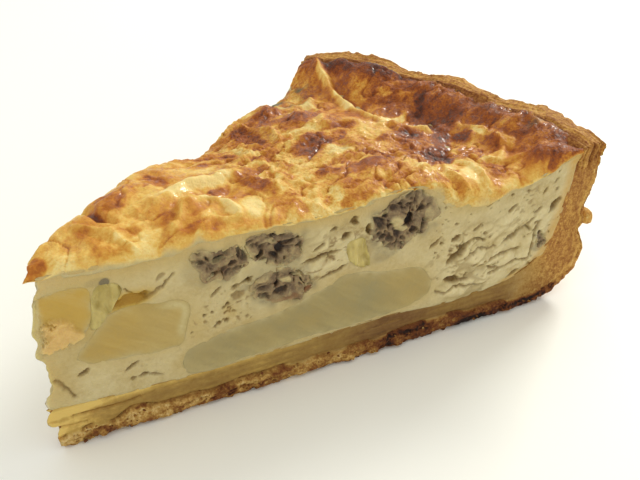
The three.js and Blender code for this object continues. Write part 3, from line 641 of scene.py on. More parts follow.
def makeCrust(material):
    # The shell is its two profiles blended through the thickness and swept round the apex. The wall is
    # moved along the radius, the rim along its height, and the cuts straight out.
    row, v, w, faces = crustBlock()
    baseShare, up = row / pastry["rowsOnBase"], row - pastry["rowsOnBase"]
    turnUp, last = pastry["baseStations"], len(pastry["inner"]) - 1
    station = np.where(up < 0, baseShare * turnUp, turnUp + up / pastry["rowsOnWall"] * (last - turnUp))
    run = pastry["baseLength"] * np.minimum(baseShare, 1) + pastry["wallStep"] * np.maximum(up, 0)
    innerR, innerZ = profile(pastry["inner"], station)
    outerR, outerZ = profile(pastry["outer"], station)
    outerZ = np.maximum(outerZ, 0)
    arc = halfAngle * (2 * v - 1) * wedge["rimRadius"]
    onWall = smoothStep(station, turnUp + 0.5, turnUp + 2.5)
    onRim = np.clip(station - last + 1, 0, 1)
    wall = np.stack([arc, outerZ, outerR * 0.3], 1)
    moved, torn, crumb = wallRelief(wall, v)
    outerR = outerR + onWall * moved
    # Rim: its line, small peaks, and flaky layers that stand up along the arc
    lift = rimLine(v) - wedge["rimHeight"]
    peaks = 0.3 * noise(wall, (2, 40, 40), 41) + 0.7 * np.maximum(0, noise(wall, (1.3, 40, 40), 44) - 0.35)
    outerZ = outerZ + (lift + peaks) * onRim
    innerZ = innerZ + (0.7 * lift + 0.3 * noise(wall, (3, 40, 40), 46)) * onRim
    radius = outerR * (1 - w) + innerR * w
    height = outerZ * (1 - w) + innerZ * w
    layers = layeredNoise(np.stack([arc, radius * 3.2, height], 1), (5, 2.6, 5), 47, 3)
    top = onRim * smoothStep(station, last - 0.4, last)
    height = height + top * (0.5 * layers - 0.35 * (2 * w - 1) ** 4)
    # The tip follows its outline
    fromTip = np.maximum(radius - wedge["tipFront"], 0)
    radius = radius + (tipLine(height) - 2.5) * np.exp(-fromTip / 1.3) + tipSpread * v * np.exp(-fromTip / 5)
    place = np.stack([radius, arc * 0.35, height], 1)
    cut = (v == 0) | (v == 1)
    side = np.where(v == 0, 0, 400)
    # Cut: thin torn layers that follow the shell, a crack over the flaky layer, and crumbs
    deep = w * np.hypot(outerR - innerR, outerZ - innerZ)
    sheet = flat(run + side, deep * 2.2)
    strata = layeredNoise(sheet, (5.5, 1.5, 5), 51, 4, 0.6)
    grain = layeredNoise(place + side[:, None], 1.15, 53, 3, 0.65)
    line = flakeLine(run) + 0.35 * noise(sheet, (3, 99, 99), 55)
    flaky = smoothStep(line - deep, -0.08, 0.3)
    crack = bump(deep, line, 0.2) * smoothStep(noise(sheet, (4, 99, 99), 57), -0.4, 0.2)
    crack *= 1 - onWall
    share = np.clip(deep / np.maximum(line, 0.1), 0, 1)
    push = pastry["footOut"] * flaky * (0.6 + 0.4 * smoothStep(share, 0, 0.4)) * (1 - onWall)
    push *= 0.5 + 0.5 * smoothStep(radius, 6, 26)
    split = bump(layeredNoise(sheet + 0.6 * grain[:, None], (4.2, 1.3, 9), 65, 3), 0, 0.1)
    split *= flaky * smoothStep(noise(sheet, (6, 3, 99), 66), -0.5, 0.1)
    push += pastry["crumbRelief"] * grain * (0.12 + 0.88 * flaky) + 0.34 * strata * (0.25 + 0.75 * flaky)
    push -= 0.8 * crack + 0.5 * split
    push -= 0.3 * smoothStep(0.4 - deep, -0.3, 0.4)
    lumps = patches(radius, height, pastry["footLumps"], True) * (v == 0)
    push += lumps
    slit = np.zeros_like(push)
    for points, width, depth in pastry["slits"]:
        groove = bump(lineDistance(radius, height + 0.2 * strata, points), 0, width) * (v == 0)
        push -= depth * groove
        slit = np.maximum(slit, groove * min(1, depth))
    high = smoothStep(height, 28.5, 31.5) * onWall
    strips = high * smoothStep(noise(sheet, (12, 1.1, 9), 56), -0.3, 0.3)
    push += 0.7 * (strips - 0.5 * high)
    ragged = 0.25 * np.maximum(0, 0.5 + 2 * layeredNoise(place + side[:, None], 1.6, 58, 2))
    height = height + ragged * cut * (w < 0.08) * (1 - onWall)
    p = fanPoint(radius, v, height)
    pushOut(p, v, push)
    p[:, 0] += 0.5 * layeredNoise(place, (2, 1.4, 1.1), 59, 3) * (row == 0)
    # Marks: how far each place is baked, with painted shade in its cracks, slits and splits and painted
    # light paler towards the tip, how much of it is the smooth inner dough, that dough's tone, and how much
    # of the outside's golden colour it has
    below = patches(radius, height, pastry["scorched"], True) * (v == 0)
    below += (v == 1) * 0.25 * smoothStep(noise(place, 6, 60), 0.2, 0.6)
    section = 0.34 + 0.22 * smoothStep(radius, 52, 66) + 0.22 * strata + 0.26 * grain - 0.3 * lumps
    # Painted shade in the splits, and painted light making the section paler towards the tip
    section += 0.3 * split - 0.2 * smoothStep(radius, 16, 6)
    section -= 0.15 * smoothStep(share, 0.35, 0.95) * smoothStep(radius, 60, 40)
    atWall = smoothStep(radius, 92, 106)
    section -= 0.36 * smoothStep(height, 3, 12) * atWall
    dough = (1 - flaky) * np.where(cut, 1.0, 0.0) * (1 - 0.85 * atWall)
    inner = 0.04 + (0.34 + 0.14 * strata - 0.2 * smoothStep(w, 0.35, 0.0)) * atWall
    # Painted shade: the cracks and slits are darker
    bake = section * flaky + inner * (1 - flaky) + 0.4 * crack + 0.5 * slit + below * (0.3 + 0.7 * flaky)
    outside = smoothStep(w, 0.16, 0.0) * np.where(cut, onWall, 1.0)
    skin = 0.33 + 0.12 * noise(wall, (9, 7, 30), 61) + 0.16 * layeredNoise(wall, 2.2, 62, 3) - 0.25 * crumb
    skin += 0.12 * smoothStep(torn, 0.05, -0.1) - 0.06 * smoothStep(height, 27, 34)
    bake = np.where(cut, bake * (1 - outside) + skin * outside, skin)
    bake = np.where((w == 1) | (onRim > 0.6) & ~cut, 0.36 + 0.2 * layers * onRim, bake)
    bake += 0.22 * smoothStep(w, 0.8, 1.0) * smoothStep(onRim, 0.3, 1.0) * (~cut)
    bake += 0.2 * smoothStep(0.45 - strips, 0.0, 0.3) * smoothStep(height, 29, 31.5) * onWall * cut
    tone = doughTone(run) + 0.25 * strata - 0.12 * np.exp(-(1 - w) * 5) * smoothStep(run, 54, 62)
    tone -= 0.25 * smoothStep(height + 0.6 * strata, 6.2, 7.2) * smoothStep(run, 56, 40)
    addPiece("crust_shell", p, faces, material, "crust",
             {"bake": bake, "dough": dough * (1 - outside), "tone": tone,
              "golden": np.where(cut, np.maximum(outside, onWall * 0.8), 1.0)})


# Custard: set filling, with pores and slits on its cuts and pockets for the pieces in it

custardLook = {
    "alongCells": 544,
    "upCells": 136,
    "acrossCells": 12,
    "coarse": 8,
    "pocket": 1.5,        # mm that the filling stands back behind a piece set into it
    "lip": {"potato": 0.35, "onion": 0.15, "blue": 0.4},       # mm of skin over the piece's border
    "ragged": {"potato": 0.25, "onion": 0.15, "blue": 0.6},    # and how much that varies
    "relief": 0.22,
    "curd": 0.56,
    "curdTurn": 24,       # degrees, the way the curds lean
    "curdSize": (5, 2.1, 9),
    "low": 8.6,           # mm, rough heights of the filling's underside and of what is above it
    "high": 24.5,
    "strewn": 110,        # small pores on each cut
    # What shows on each cut. Every row but a crack's: radius, height, half sizes, turn in degrees, amount
    "front": {
        "pores": [
            (8.2, 14.5, 1.1, 0.45, 15, 1.0), (15.7, 12.8, 1.4, 0.3, 25, 0.9),
            (15.6, 10.6, 0.5, 0.5, 0, 0.6), (17.3, 10.6, 0.8, 0.35, 0, 1.0),
            (19.2, 9.9, 1.6, 0.25, -25, 0.5), (32.9, 20.3, 0.45, 0.4, 0, 1.1),
            (32.5, 17, 0.5, 0.35, 0, 0.9), (30.4, 16.5, 0.3, 0.25, 0, 0.7),
            (30.2, 19.5, 0.3, 0.25, 0, 0.7), (34.6, 21.5, 1.1, 1.0, 30, 0.6),
            (36.8, 24.1, 0.35, 0.65, 20, 1.5), (79.6, 17.9, 2.9, 0.8, 40, 2.2),
            (79, 12.2, 1.7, 0.85, -10, 2), (81.6, 11.4, 1.6, 0.35, -10, 0.8),
            (79.2, 21.5, 1.2, 0.45, 10, 1.2), (102.6, 23.4, 1.8, 0.65, 52, 1.8),
            (99.4, 10.4, 1.6, 0.35, 5, 0.9), (94.6, 9.5, 1.5, 0.4, 25, 0.9), (91.6, 28, 0.4, 0.3, 0, 0.6),
            (95.6, 28, 0.4, 0.3, 0, 0.6), (99.6, 27.3, 0.8, 0.35, 50, 0.8),
            (102.8, 27, 0.6, 0.3, 50, 0.7), (102.2, 29, 0.7, 0.3, 50, 0.6), (92.1, 25, 1.1, 0.4, 30, 0.8),
            (98.6, 23, 1, 0.35, 40, 0.7), (79.1, 24.5, 0.5, 0.3, 0, 0.6),
            (44.4, 15.6, 0.25, 0.25, 0, 0.6), (87.1, 17.5, 0.22, 0.22, 0, 0.6),
            (82.1, 26, 0.25, 0.2, 0, 0.6), (50.4, 25, 3.8, 0.4, 8, 1.3), (53, 21.2, 3, 0.35, 15, 1.1),
            (55.2, 28, 1.2, 0.7, 30, 1.5), (57, 30.8, 0.7, 0.9, 0, 1.4), (60, 28, 0.6, 1.2, 0, 1.8),
            (53, 30, 0.8, 0.4, 20, 1), (50, 27.2, 1.4, 0.3, 30, 0.8), (17.2, 25.9, 3.2, 0.95, 8, 1.3),
            (22.2, 29, 0.9, 0.45, 30, 0.4), (84, 22.6, 1.3, 0.35, 20, 0.7),
            (88.5, 12.5, 1.6, 0.35, -20, 0.7), (74.5, 21.5, 1.6, 0.35, 40, 0.8),
            (92.5, 19, 2.6, 0.35, 32, 1), (96.8, 20.8, 1.6, 0.3, 30, 0.7), (86.4, 27.2, 1, 0.3, 25, 0.6),
            (89.4, 29.4, 0.8, 0.25, 25, 0.5), (100.4, 31.2, 0.5, 0.35, 60, 0.7),
            (31, 23.4, 1.3, 0.3, 40, 0.7), (34, 18.6, 0.4, 0.3, 0, 0.5), (28.6, 17.8, 0.4, 0.3, 0, 0.4),
            (36.2, 16.8, 0.4, 0.3, 0, 0.4),
        ],
        # Cracks: line, half width, depth
        "cracks": [
            ([(34.2, 23), (37.2, 24.3)], 0.22, 0.9),
            ([(81.2, 19.4), (84.2, 20.2), (86.2, 19.3)], 0.26, 0.9),
            ([(91.2, 18), (96.2, 20), (97.2, 19.3)], 0.28, 0.9), ([(3.6, 14.2), (6.2, 10)], 0.3, 0.5),
            ([(16.2, 28), (18.4, 26.5), (20.2, 26.1), (22.2, 27), (24.2, 29)], 0.22, 0.5),
            ([(98, 12.5), (98.6, 14), (98.2, 17.6), (99.4, 20.5)], 0.28, 0.8),
            ([(75.6, 10.2), (77.6, 9.2), (79.4, 10.4), (83, 9.6), (87.4, 9)], 0.25, 0.6),
            ([(85, 13.6), (90, 15.4), (95, 15.2)], 0.25, 0.6),
            ([(87.6, 11.2), (93.4, 12.4), (97.6, 12.2)], 0.25, 0.6),
            ([(81.4, 16), (84.6, 17.8), (89, 17)], 0.22, 0.5),
        ],
        # Curds that stand out
        "curds": [
            (84.5, 15.4, 4, 1.8, -15, 0.7), (91, 14, 4.6, 1.7, -12, 0.6), (86, 10.6, 3.6, 1.6, 10, 0.7),
            (79, 9, 2.6, 1.3, 0, 0.8), (95, 16.8, 3.4, 1.4, 5, 0.5), (83, 8.2, 2.2, 1.2, -10, 0.6),
            (90, 22, 4, 1.2, 20, 0.3), (20, 28.8, 3.2, 2.0, 10, 0.35), (50, 22.9, 4.4, 0.7, 12, 0.6),
            (52, 27.4, 3.4, 1.3, 15, 0.3), (10, 12.4, 4, 1.6, 0, 0.2),
        ],
        # Warm yellow places: the filling's own warm tone, and by the tip and in the large pore at radius 17
        # a painted glow of light coming through
        "gold": [
            (9, 25.5, 6, 6.5, 0, 0.9), (17.2, 25.9, 3.8, 1.7, 8, 2.4), (3.4, 14, 2.4, 12, 0, 0.5),
            (26.6, 18, 3, 5.5, 0, 0.55), (20, 32, 16, 3, 0, 0.55), (50, 32.6, 12, 2, 0, 0.6),
            (82, 29, 7, 3, 0, 0.7), (33.4, 18.4, 1.4, 2.4, 20, 0.4),
        ],
        # Specks of the blue cheese
        "grey": [
            (13.6, 30.3, 0.9, 0.8, 0, 1.6), (12.4, 30.6, 2, 0.9, 0, 0.35), (64, 23, 4, 2.4, 30, 0.5),
            (100, 14, 1.8, 1, 0, 0.6), (29, 28, 4, 3.5, 0, 0.25), (41, 24.6, 6, 3, 0, 0.3),
            (36, 22.6, 1.5, 0.8, 0, 0.5),
        ],
        # Torn places with small ragged hollows
        "torn": [
            (32.5, 19, 6.5, 4.6, 20, 1), (54, 25.5, 7, 4.6, 10, 0.9), (80, 18, 8, 6, 30, 0.7),
            (96, 25, 7, 5, 40, 0.5), (18, 11.6, 6, 2.2, 0, 0.3), (47, 21, 5, 2.6, 10, 0.6),
            (90, 11, 10, 3, 0, 0.4),
        ],
    },
    "back": {
        "pores": [
            (38, 17, 2.4, 1, 20, 2), (92, 17, 2.8, 0.9, -25, 2), (84, 12, 2, 0.7, 10, 1.4),
            (98, 24, 1.6, 0.8, 40, 1.4), (22, 20, 1.8, 0.5, 30, 1.2), (66, 25, 2.6, 0.45, -15, 1.2),
            (60, 22, 1.2, 0.6, 0, 1), (26, 27, 1, 0.5, 0, 0.9), (75, 27, 1.6, 0.5, 20, 1),
            (14, 13, 1.4, 0.5, -20, 1), (90, 26, 0.9, 0.5, 0, 0.8),
        ],
        "cracks": [],
        "curds": [
            (20, 15, 4, 1.8, 10, 0.6), (70, 26, 4, 1.4, -10, 0.5), (94, 13, 3.6, 1.6, 15, 0.6),
            (33, 24, 4, 1.6, 5, 0.5), (82, 25, 3.6, 1.3, 0, 0.5), (14, 27, 3.4, 1.4, -10, 0.4),
        ],
        "gold": [],
        "grey": [],
        "torn": [
            (90, 18, 12, 8, 0, 0.7),
        ],
    },
}


def scatteredPores(seed):
    # Small pores strewn over a cut: most of them towards the rim, a few by the first third
    draw, count = np.random.default_rng(seed), custardLook["strewn"]
    near = draw.random(count) < 0.12
    radius = np.where(near, draw.uniform(26, 40, count), draw.uniform(74, 104, count))
    height = np.where(near, draw.uniform(14, 24, count), draw.uniform(10, 31, count))
    length = 0.12 + 0.4 * draw.random(count) ** 2
    width = length * (0.4 + 0.4 * draw.random(count))
    turn = draw.uniform(0, 60, count)
    return list(zip(radius, height, length, width, turn, 0.3 + length))


def curdField(r, z, side):
    # Overlapping lumps that lean along the cut: their height, and how near a place is to a seam between two
    turn = math.radians(custardLook["curdTurn"])
    leaning = flat(r * math.cos(turn) + z * math.sin(turn), z * math.cos(turn) - r * math.sin(turn))
    leaning = leaning + 0.9 * flat(noise(leaning, 3, 90), noise(leaning, 2.2, 89)) + 40 * side
    nearest, second = cellDistance(leaning, custardLook["curdSize"], 92)
    return 1 - nearest ** 2, smoothStep(second - nearest, 0.3, 0.0)


def curdyPlaces(r, z, q, side):
    # Where the filling has set in curds, from 0 to 1
    if side == 1:
        return 0.5 + 0.4 * noise(q, 22, 91)
    curdy = smoothStep(r, 69, 81) * (1 - 0.8 * smoothStep(z, 20, 26))
    curdy = np.maximum(curdy, 0.4 * np.exp(-((r - 32) / 6) ** 2 - ((z - 18) / 5) ** 2))
    return np.maximum(curdy, 0.85 * np.exp(-((r - 54) / 8) ** 4 - ((z - 25.5) / 5) ** 4))


def custardCut(r, z, side, cutName):
    # One cut face: how far each place stands out of it, and its marks. Noise, curds and torn places add up,
    # pores and cracks are pressed in, and the filling stands back behind each piece set into it.
    features = custardLook[cutName]
    q = flat(r, z) + 300 * side
    lump, seam = curdField(r, z, side)
    curdy = curdyPlaces(r, z, q, side)
    broken = smoothStep(noise(q, 5, 88), -0.3, 0.3)
    out = custardLook["relief"] * layeredNoise(q, 3.2, 93, 4, 0.55)
    out += custardLook["curd"] * curdy * (lump - 0.55) - 0.12 * curdy * seam * broken
    torn = np.clip(patches(r, z, features["torn"]), 0, 1)
    shred = layeredNoise(q + 0.5 * noise(q, 2, 87)[:, None], (1.5, 0.9, 9), 86, 3, 0.6)
    out += 0.38 * torn * shred
    lumps = patches(r, z, features["curds"])
    out += lumps * (1 + 0.3 * noise(q, 1.6, 94))
    warpR, warpZ = (0.6 * layeredNoise(q, 1.5, seed, 3, 0.6) for seed in (95, 96))
    # Painted shade: the filling is darker in the seams between curds and in the torn hollows
    dark = np.maximum(0.3 * curdy * seam * broken, 0.9 * torn * smoothStep(shred, -0.24, -0.5))
    for middleR, middleZ, length, width, turn, depth in features["pores"] + scatteredPores(5 + side):
        share = min(1.0, 1.5 * width)
        bell = blob(r + share * warpR, z + share * warpZ, middleR, middleZ, length * 1.2, width * 1.2, turn)
        pit = smoothStep(bell, 0.26, 0.7)
        out += 0.75 * depth * (0.12 * smoothStep(bell, 0.05, 0.26) - pit)
        # Painted shade in the pore's pit
        dark = np.maximum(dark, pit * min(0.9, 0.3 + depth * 0.4))
    for points, width, depth in features["cracks"]:
        groove = bump(lineDistance(r + warpR, z + warpZ, points), 0, width)
        out -= groove * depth
        # Painted shade in the crack
        dark = np.maximum(dark, 0.6 * groove)
    grey = patches(r, z, features["grey"], True)
    warm = patches(r, z, features["gold"])
    for piece, outline in outlines.items():
        low, high = outline.min(0) - 3.5, outline.max(0) + 3.5
        near = (r > low[0]) & (r < high[0]) & (z > low[1]) & (z < high[1])
        if insets[piece][0] != cutName and piece != "potato_tip" or not near.any():
            continue
        kind = piece.split("_")[0]
        dr, dz = wander(r[near], z[near], edgeWander[kind])
        inside = insideBy(r[near] - dr, z[near] - dz, outline)
        past = np.maximum(-inside, 0)
        if kind == "potato":
            out[near] *= smoothStep(-inside, -0.2, 1.6)
            warm[near] = np.maximum(warm[near], 0.35 * np.exp(-past / 1.2))
        lip = custardLook["lip"][kind] + custardLook["ragged"][kind] * layeredNoise(q[near], 1.2, 98, 2)
        depth = np.minimum(custardLook["pocket"], 0.26 * r[near])
        out[near] -= depth * smoothStep(inside - lip, 0, 0.4)
        if kind == "blue":
            halo = 0.55 * np.exp(-past / 0.8) * (0.6 + 0.9 * noise(q[near], 1.7, 97))
            grey[near] = np.maximum(grey[near], halo)
    # Paler on the raised curds and named lumps, a painted highlight, and less pale where the painted shade
    # is
    pale = np.clip(0.38 + 0.9 * curdy * (lump - 0.5) + 0.5 * lumps, 0, 1) * (1 - dark)
    return out, {"pale": pale, "hole": dark, "gold": warm, "stain": grey}


def makeCustard(material):
    # A block from the tip's line to the pastry's wall and from the base's line up into the cheese
    nu, nv, nw = custardLook["alongCells"], custardLook["acrossCells"], custardLook["upCells"]
    columns, layers = np.arange(nu + 1), np.arange(nv + 1)
    steps = np.where(layers == 0, 1, np.where(layers == nv, 2, custardLook["coarse"]))
    u, v, w, faces = blockMesh((nu, nv, nw), [
        (stripFaces(layers, steps, nu), (1, 0, 2, 0, False)),
        (stripFaces(layers, steps, nu), (1, 0, 2, nw, True)),
        (stripFaces(layers, steps, nw), (1, 2, 0, 0, True)),
        (stripFaces(layers, steps, nw), (1, 2, 0, nu, False)),
        (stripFaces(columns, np.ones(nu + 1, int), nw), (0, 2, 1, 0, False)),
        (stripFaces(columns[::2], np.full(nu // 2 + 1, 2), nw), (0, 2, 1, nv, True)),
    ])
    tip = tipLine(custardLook["low"] + w * custardLook["high"]) + tipSpread * v
    tip += 0.35 * layeredNoise(flat(v * 3, w * 26), (2.5, 1.6, 1), 81, 3)
    wallLow, wallHigh = 8, 34.5
    farRadius = wallInside(wallLow + w * (wallHigh - wallLow)) + 0.3
    radius = tip + (farRadius - tip) * u
    x, y = fanPoint(radius, v, w).T[:2]
    roof = topHeight(x, y) - 0.55 * cheeseDepth(x, y)
    floor = baseInside(radius) - 0.25
    height = floor + (roof - floor) * w
    p = fanPoint(radius, v, height)
    push = np.zeros_like(u)
    marks = {mark: np.zeros_like(u) for mark in ("pale", "hole", "gold", "stain")}
    for side, cutName in cuts:
        on = v == side
        push[on], shown = custardCut(radius[on], height[on], side, cutName)
        for mark, values in shown.items():
            marks[mark][on] = values
    pushOut(p, v, push)
    wallLine = wallInside(height)
    marks["toast"] = smoothStep(height, 30, 34) * 0.5 + smoothStep(radius, wallLine - 2.6, wallLine)
    addPiece("custard_filling", p, faces, material, "custard", marks)


# Pieces set into the filling

insetLook = {
    "sides": 224,
    "faceRings": {"potato": 46, "onion": 30, "blue": 40},
    "bodyRings": 14,
    "rounding": {"potato": 0.06, "onion": 0.25, "blue": 0.15},   # mm, radius of the arris at the cut
    # How yellow each potato piece is, from olive grey to gold
    "gold": {"potato_slab": 0.12, "potato_cube": 0.6, "potato_tip": 0.92, "potato_back_1": 0.24,
             "potato_back_2": 0.4},
    # Rows: radius, height, half sizes, turn in degrees, amount
    # Flake of browned filling over the potato at the tip
    "flake": [
        (5.8, 23.4, 2.6, 2.4, -20, 1), (4.2, 21.4, 2.6, 1.6, 0, 1), (8, 21.6, 1.4, 1.4, 10, 1),
    ],
    # Cavities of the shown blue cheese, its cream lumps and its rusty spots
    "holes": [
        (38.9, 28.7, 0.8, 0.9, 0, 1), (42.9, 28.3, 1.1, 0.9, 0, 1), (44.4, 29.4, 1.5, 0.5, 20, 0.7),
        (41.6, 22.2, 0.45, 1.3, -20, 1.1), (42.2, 20.6, 1.2, 0.6, 10, 0.8),
        (67.7, 28.5, 1.0, 1.9, 0, 1.3), (69, 26.2, 0.8, 0.8, 0, 0.8), (30.4, 26.6, 0.9, 0.7, 0, 0.9),
        (33.6, 28.2, 0.8, 0.7, 0, 0.7), (64.2, 25.2, 1, 0.7, 30, 0.6), (70.6, 30, 0.9, 0.8, 0, 0.7),
        (62.4, 28.8, 0.9, 0.9, 0, 0.8), (35.6, 30, 0.8, 0.5, 0, 0.6), (46, 28, 0.7, 0.7, 0, 0.6),
    ],
    "cream": [
        (65.6, 28, 1, 1.5, 25, 1), (66.6, 26.4, 1, 0.8, 0, 0.9), (43.6, 22.4, 1, 1.1, 30, 1),
        (41, 30.2, 1.6, 0.6, 0, 0.5), (62.7, 31.2, 1.2, 0.7, 20, 0.6), (46.6, 23, 1.4, 0.7, 20, 0.6),
        (39.4, 24, 1.2, 0.6, 20, 0.5), (72.6, 28.4, 0.8, 1.8, 0, 0.5), (31.8, 29.6, 1.4, 0.5, 0, 0.4),
    ],
    "rust": [
        (43, 18.4, 3, 1, 0, 0.8), (47.8, 18.8, 1.1, 1.2, 0, 1.2), (31, 25.8, 1.6, 0.9, 0, 0.6),
        (37.9, 26.8, 0.6, 1.2, 0, 0.4),
    ],
}


def potatoFace(name, along, height, inside):
    # Fine slanting cut lines from a stretched noise, and the flake over the piece at the tip
    q = flat(along, height)
    slant = flat(along * 0.8 - height * 0.6, along * 0.6 + height * 0.8)
    lines = layeredNoise(slant, (6, 0.8, 1), 110, 3)
    face = 0.05 * lines + 0.1 * noise(q, 6, 111)
    gold = insetLook["gold"][name] + 0.08 * noise(q, 4, 113) + 0.08 * lines
    light = 0.2 * lines
    fade = np.exp(-np.maximum(inside, 0) / 0.7) * (0.75 + 0.6 * noise(q, 1.4, 118))
    peach = np.zeros_like(along)
    if "back" in name:
        face += 0.3 * layeredNoise(q, 4, 131, 3)
        face -= 0.25 * bump(layeredNoise(slant, (7, 1.6, 1), 132, 3), 0, 0.06)
        light += 0.4 * noise(q, 3, 133)
    if name == "potato_slab":
        gold += 0.3 * smoothStep(along, 60, 72)
        light += 0.15 * smoothStep(height, 12, 9)
        fade = np.maximum(fade, 0.5 * np.exp(-np.maximum(inside, 0) / 2) * smoothStep(along, 36, 26))
    if name == "potato_cube":
        # Painted highlight: a light band along the cube's rounded right and upper edges
        light += 0.7 * bump(inside, 0.9, 0.7) * smoothStep(along, 20, 24.5) * smoothStep(height, 15.6, 18)
        light += 0.25 * smoothStep(along - 0.4 * height, 6, 15)
        fade *= smoothStep(along + height, 44, 38)
    if name == "potato_tip":
        warp = 1.1 * layeredNoise(q, 1.6, 114, 4, 0.65)
        peach = np.clip(patches(along + warp, height - warp, insetLook["flake"], True), 0, 1)
        face += 0.8 * peach * (1 + 0.4 * layeredNoise(q, 1.2, 112, 3))
        face += 0.35 * layeredNoise(q, 2, 117, 3) * smoothStep(along, 6, 3)
        # Painted light: the piece is lighter and less gold at the very tip, where light comes through
        light += 0.8 * smoothStep(along, 4.6, 2.4)
        gold += 0.2 * smoothStep(height, 24, 29) - 0.3 * smoothStep(along, 4.6, 2.4)
    return face, {"gold": gold, "light": light, "peach": peach, "fade": fade}


def onionFace(along, height):
    # Ribs along the leaf, from a noise stretched along the height
    q = flat(along, height)
    fan = layeredNoise(q + 0.4 * noise(q, 3, 119)[:, None], (1.1, 4, 1), 115, 3)
    return 0.5 * fan, {"light": 0.45 + 0.7 * fan + 0.25 * noise(q, 1.2, 116)}


def blueCheeseFace(name, along, height, inside):
    # Marbling from noise on places that noise has moved, with round cavities, cream lumps and rusty spots
    q = flat(along, height)
    wavy = q + 0.3 * flat(noise(q, 1.9, 120), noise(q, 1.9, 121))
    marble = layeredNoise(wavy, 1.7, 122, 3, 0.55)
    large = cellDistance(wavy, (1.9, 1.7, 9), 124)[0]
    small = cellDistance(wavy, (0.95, 0.9, 9), 129)[0]
    pits = smoothStep(large, 0.56, 0.12) * smoothStep(noise(q, 2.6, 125), -0.8, -0.1)
    pores = smoothStep(small, 0.55, 0.15) * smoothStep(noise(q, 2, 123), -0.6, 0.1)
    r = along + 0.5 * layeredNoise(q, 1.5, 126, 2)
    z = height + 0.5 * layeredNoise(q, 1.5, 127, 2)
    named, cream, rust = (np.clip(patches(r, z, [] if "back" in name else insetLook[mark], True), 0, most)
                          for mark, most in (("holes", 1.3), ("cream", 1), ("rust", 1)))
    hollow = np.maximum(np.maximum(named, 0.8 * pits), 0.6 * pores)
    face = 0.2 + 0.25 * marble - 0.95 * hollow + 0.3 * cream
    level = 0.54 + 0.3 * marble - 0.56 * hollow
    fade = np.exp(-np.maximum(inside, 0) / 0.6) * (0.7 + 0.8 * noise(q, 1.2, 128))
    return face, {"level": level, "cream": np.maximum(cream, fade), "rust": rust}


def faceOf(name, kind, along, height, inside):
    # Relief in millimetres and marks of a piece's shown face
    if kind == "potato":
        return potatoFace(name, along, height, inside)
    if kind == "onion":
        return onionFace(along, height)
    return blueCheeseFace(name, along, height, inside)


def makeInset(name, material):
    # A closed form of rings that shrink towards the middle of the shown face and into the food
    cutName, depthIn, roundness, points = insets[name]
    kind = name.split("_")[0]
    sides, faceRings, bodyRings = insetLook["sides"], insetLook["faceRings"][kind], insetLook["bodyRings"]
    outline = catmullRom(points, sides)
    middle = (outline.min(0) + outline.max(0)) / 2
    # Rings: out over the shown face, then back into the food as it narrows, as a function of the
    # place round the outline and the ring
    share = np.concatenate([np.linspace(0, 1, faceRings + 1)[1:], np.ones(bodyRings)])
    into = np.concatenate([np.zeros(faceRings), np.linspace(0, 1, bodyRings + 1)[1:]])
    scale = np.where(into > 0, 0.25 + 0.75 * (1 - into ** 2.6) ** (1 - roundness / 2), share)
    along = middle[0] + (outline[None, :, 0] - middle[0]) * scale[:, None]
    height = middle[1] + (outline[None, :, 1] - middle[1]) * scale[:, None]
    shape = along.shape
    flatAlong, flatHeight = along.ravel(), height.ravel()
    inside = insideBy(flatAlong, flatHeight, outlines[name]).reshape(shape)
    inside[faceRings - 1:] = 0
    dr, dz = (d.reshape(shape) for d in wander(flatAlong, flatHeight, edgeWander[kind]))
    face, marks = faceOf(name, kind, flatAlong, flatHeight, inside.ravel())
    face = face.reshape(shape)
    marks = {mark: values.reshape(shape) for mark, values in marks.items()}
    along, height = along + dr, height + dz
    rounding = insetLook["rounding"][kind]
    edge = rounding * (1 - np.sqrt(1 - np.clip(1 - inside / rounding, 0, 1) ** 2))
    shallow = (1 - into[:, None]) ** 2
    depth = into[:, None] * depthIn + shallow * (edge - face)
    if name == "potato_tip":
        makeThroughPiece(name, along, height, depth, into, marks, material)
        return
    p = cutAlong[cutName] * along[..., None] - cutOut[cutName] * depth[..., None]
    p[..., 0] += apexX
    p[..., 2] = height
    p, marks = withPoles(p, marks)
    faces = polarFaces(len(share), sides, outline, cutName == "back")
    addPiece(name + "_food", p, faces, material, name, marks)


def withPoles(p, marks):
    # Rings of points as one list, with a pole in the middle of the first ring and of the last
    p = np.concatenate([[p[0].mean(0)], p.reshape(-1, 3), [p[-1].mean(0)]])
    return p, {mark: np.concatenate([[m[0].mean()], m.ravel(), [m[-1].mean()]]) for mark, m in marks.items()}


def polarFaces(rings, sides, outline, mirrored):
    # Faces of rings of points with a pole at each end, facing out for an outline that runs either way
    ring = np.arange(rings - 1)[:, None] * sides + 1
    a = np.arange(sides)[None, :]
    b = (a + 1) % sides
    quads = np.stack([ring + a, ring + sides + a, ring + sides + b, ring + b], -1).reshape(-1, 4)
    a, b = a[0], b[0]
    start = np.stack([np.zeros(sides, int), 1 + a, 1 + b], 1)
    top = 1 + (rings - 1) * sides
    end = np.stack([np.full(sides, top + sides), top + b, top + a], 1)
    x, y = outline.T
    area = np.sum(x * np.roll(y, -1) - np.roll(x, -1) * y)
    triangles = np.concatenate([start, end])
    if (area > 0) == mirrored:
        quads, triangles = quads[:, ::-1], triangles[:, ::-1]
    return quads, triangles


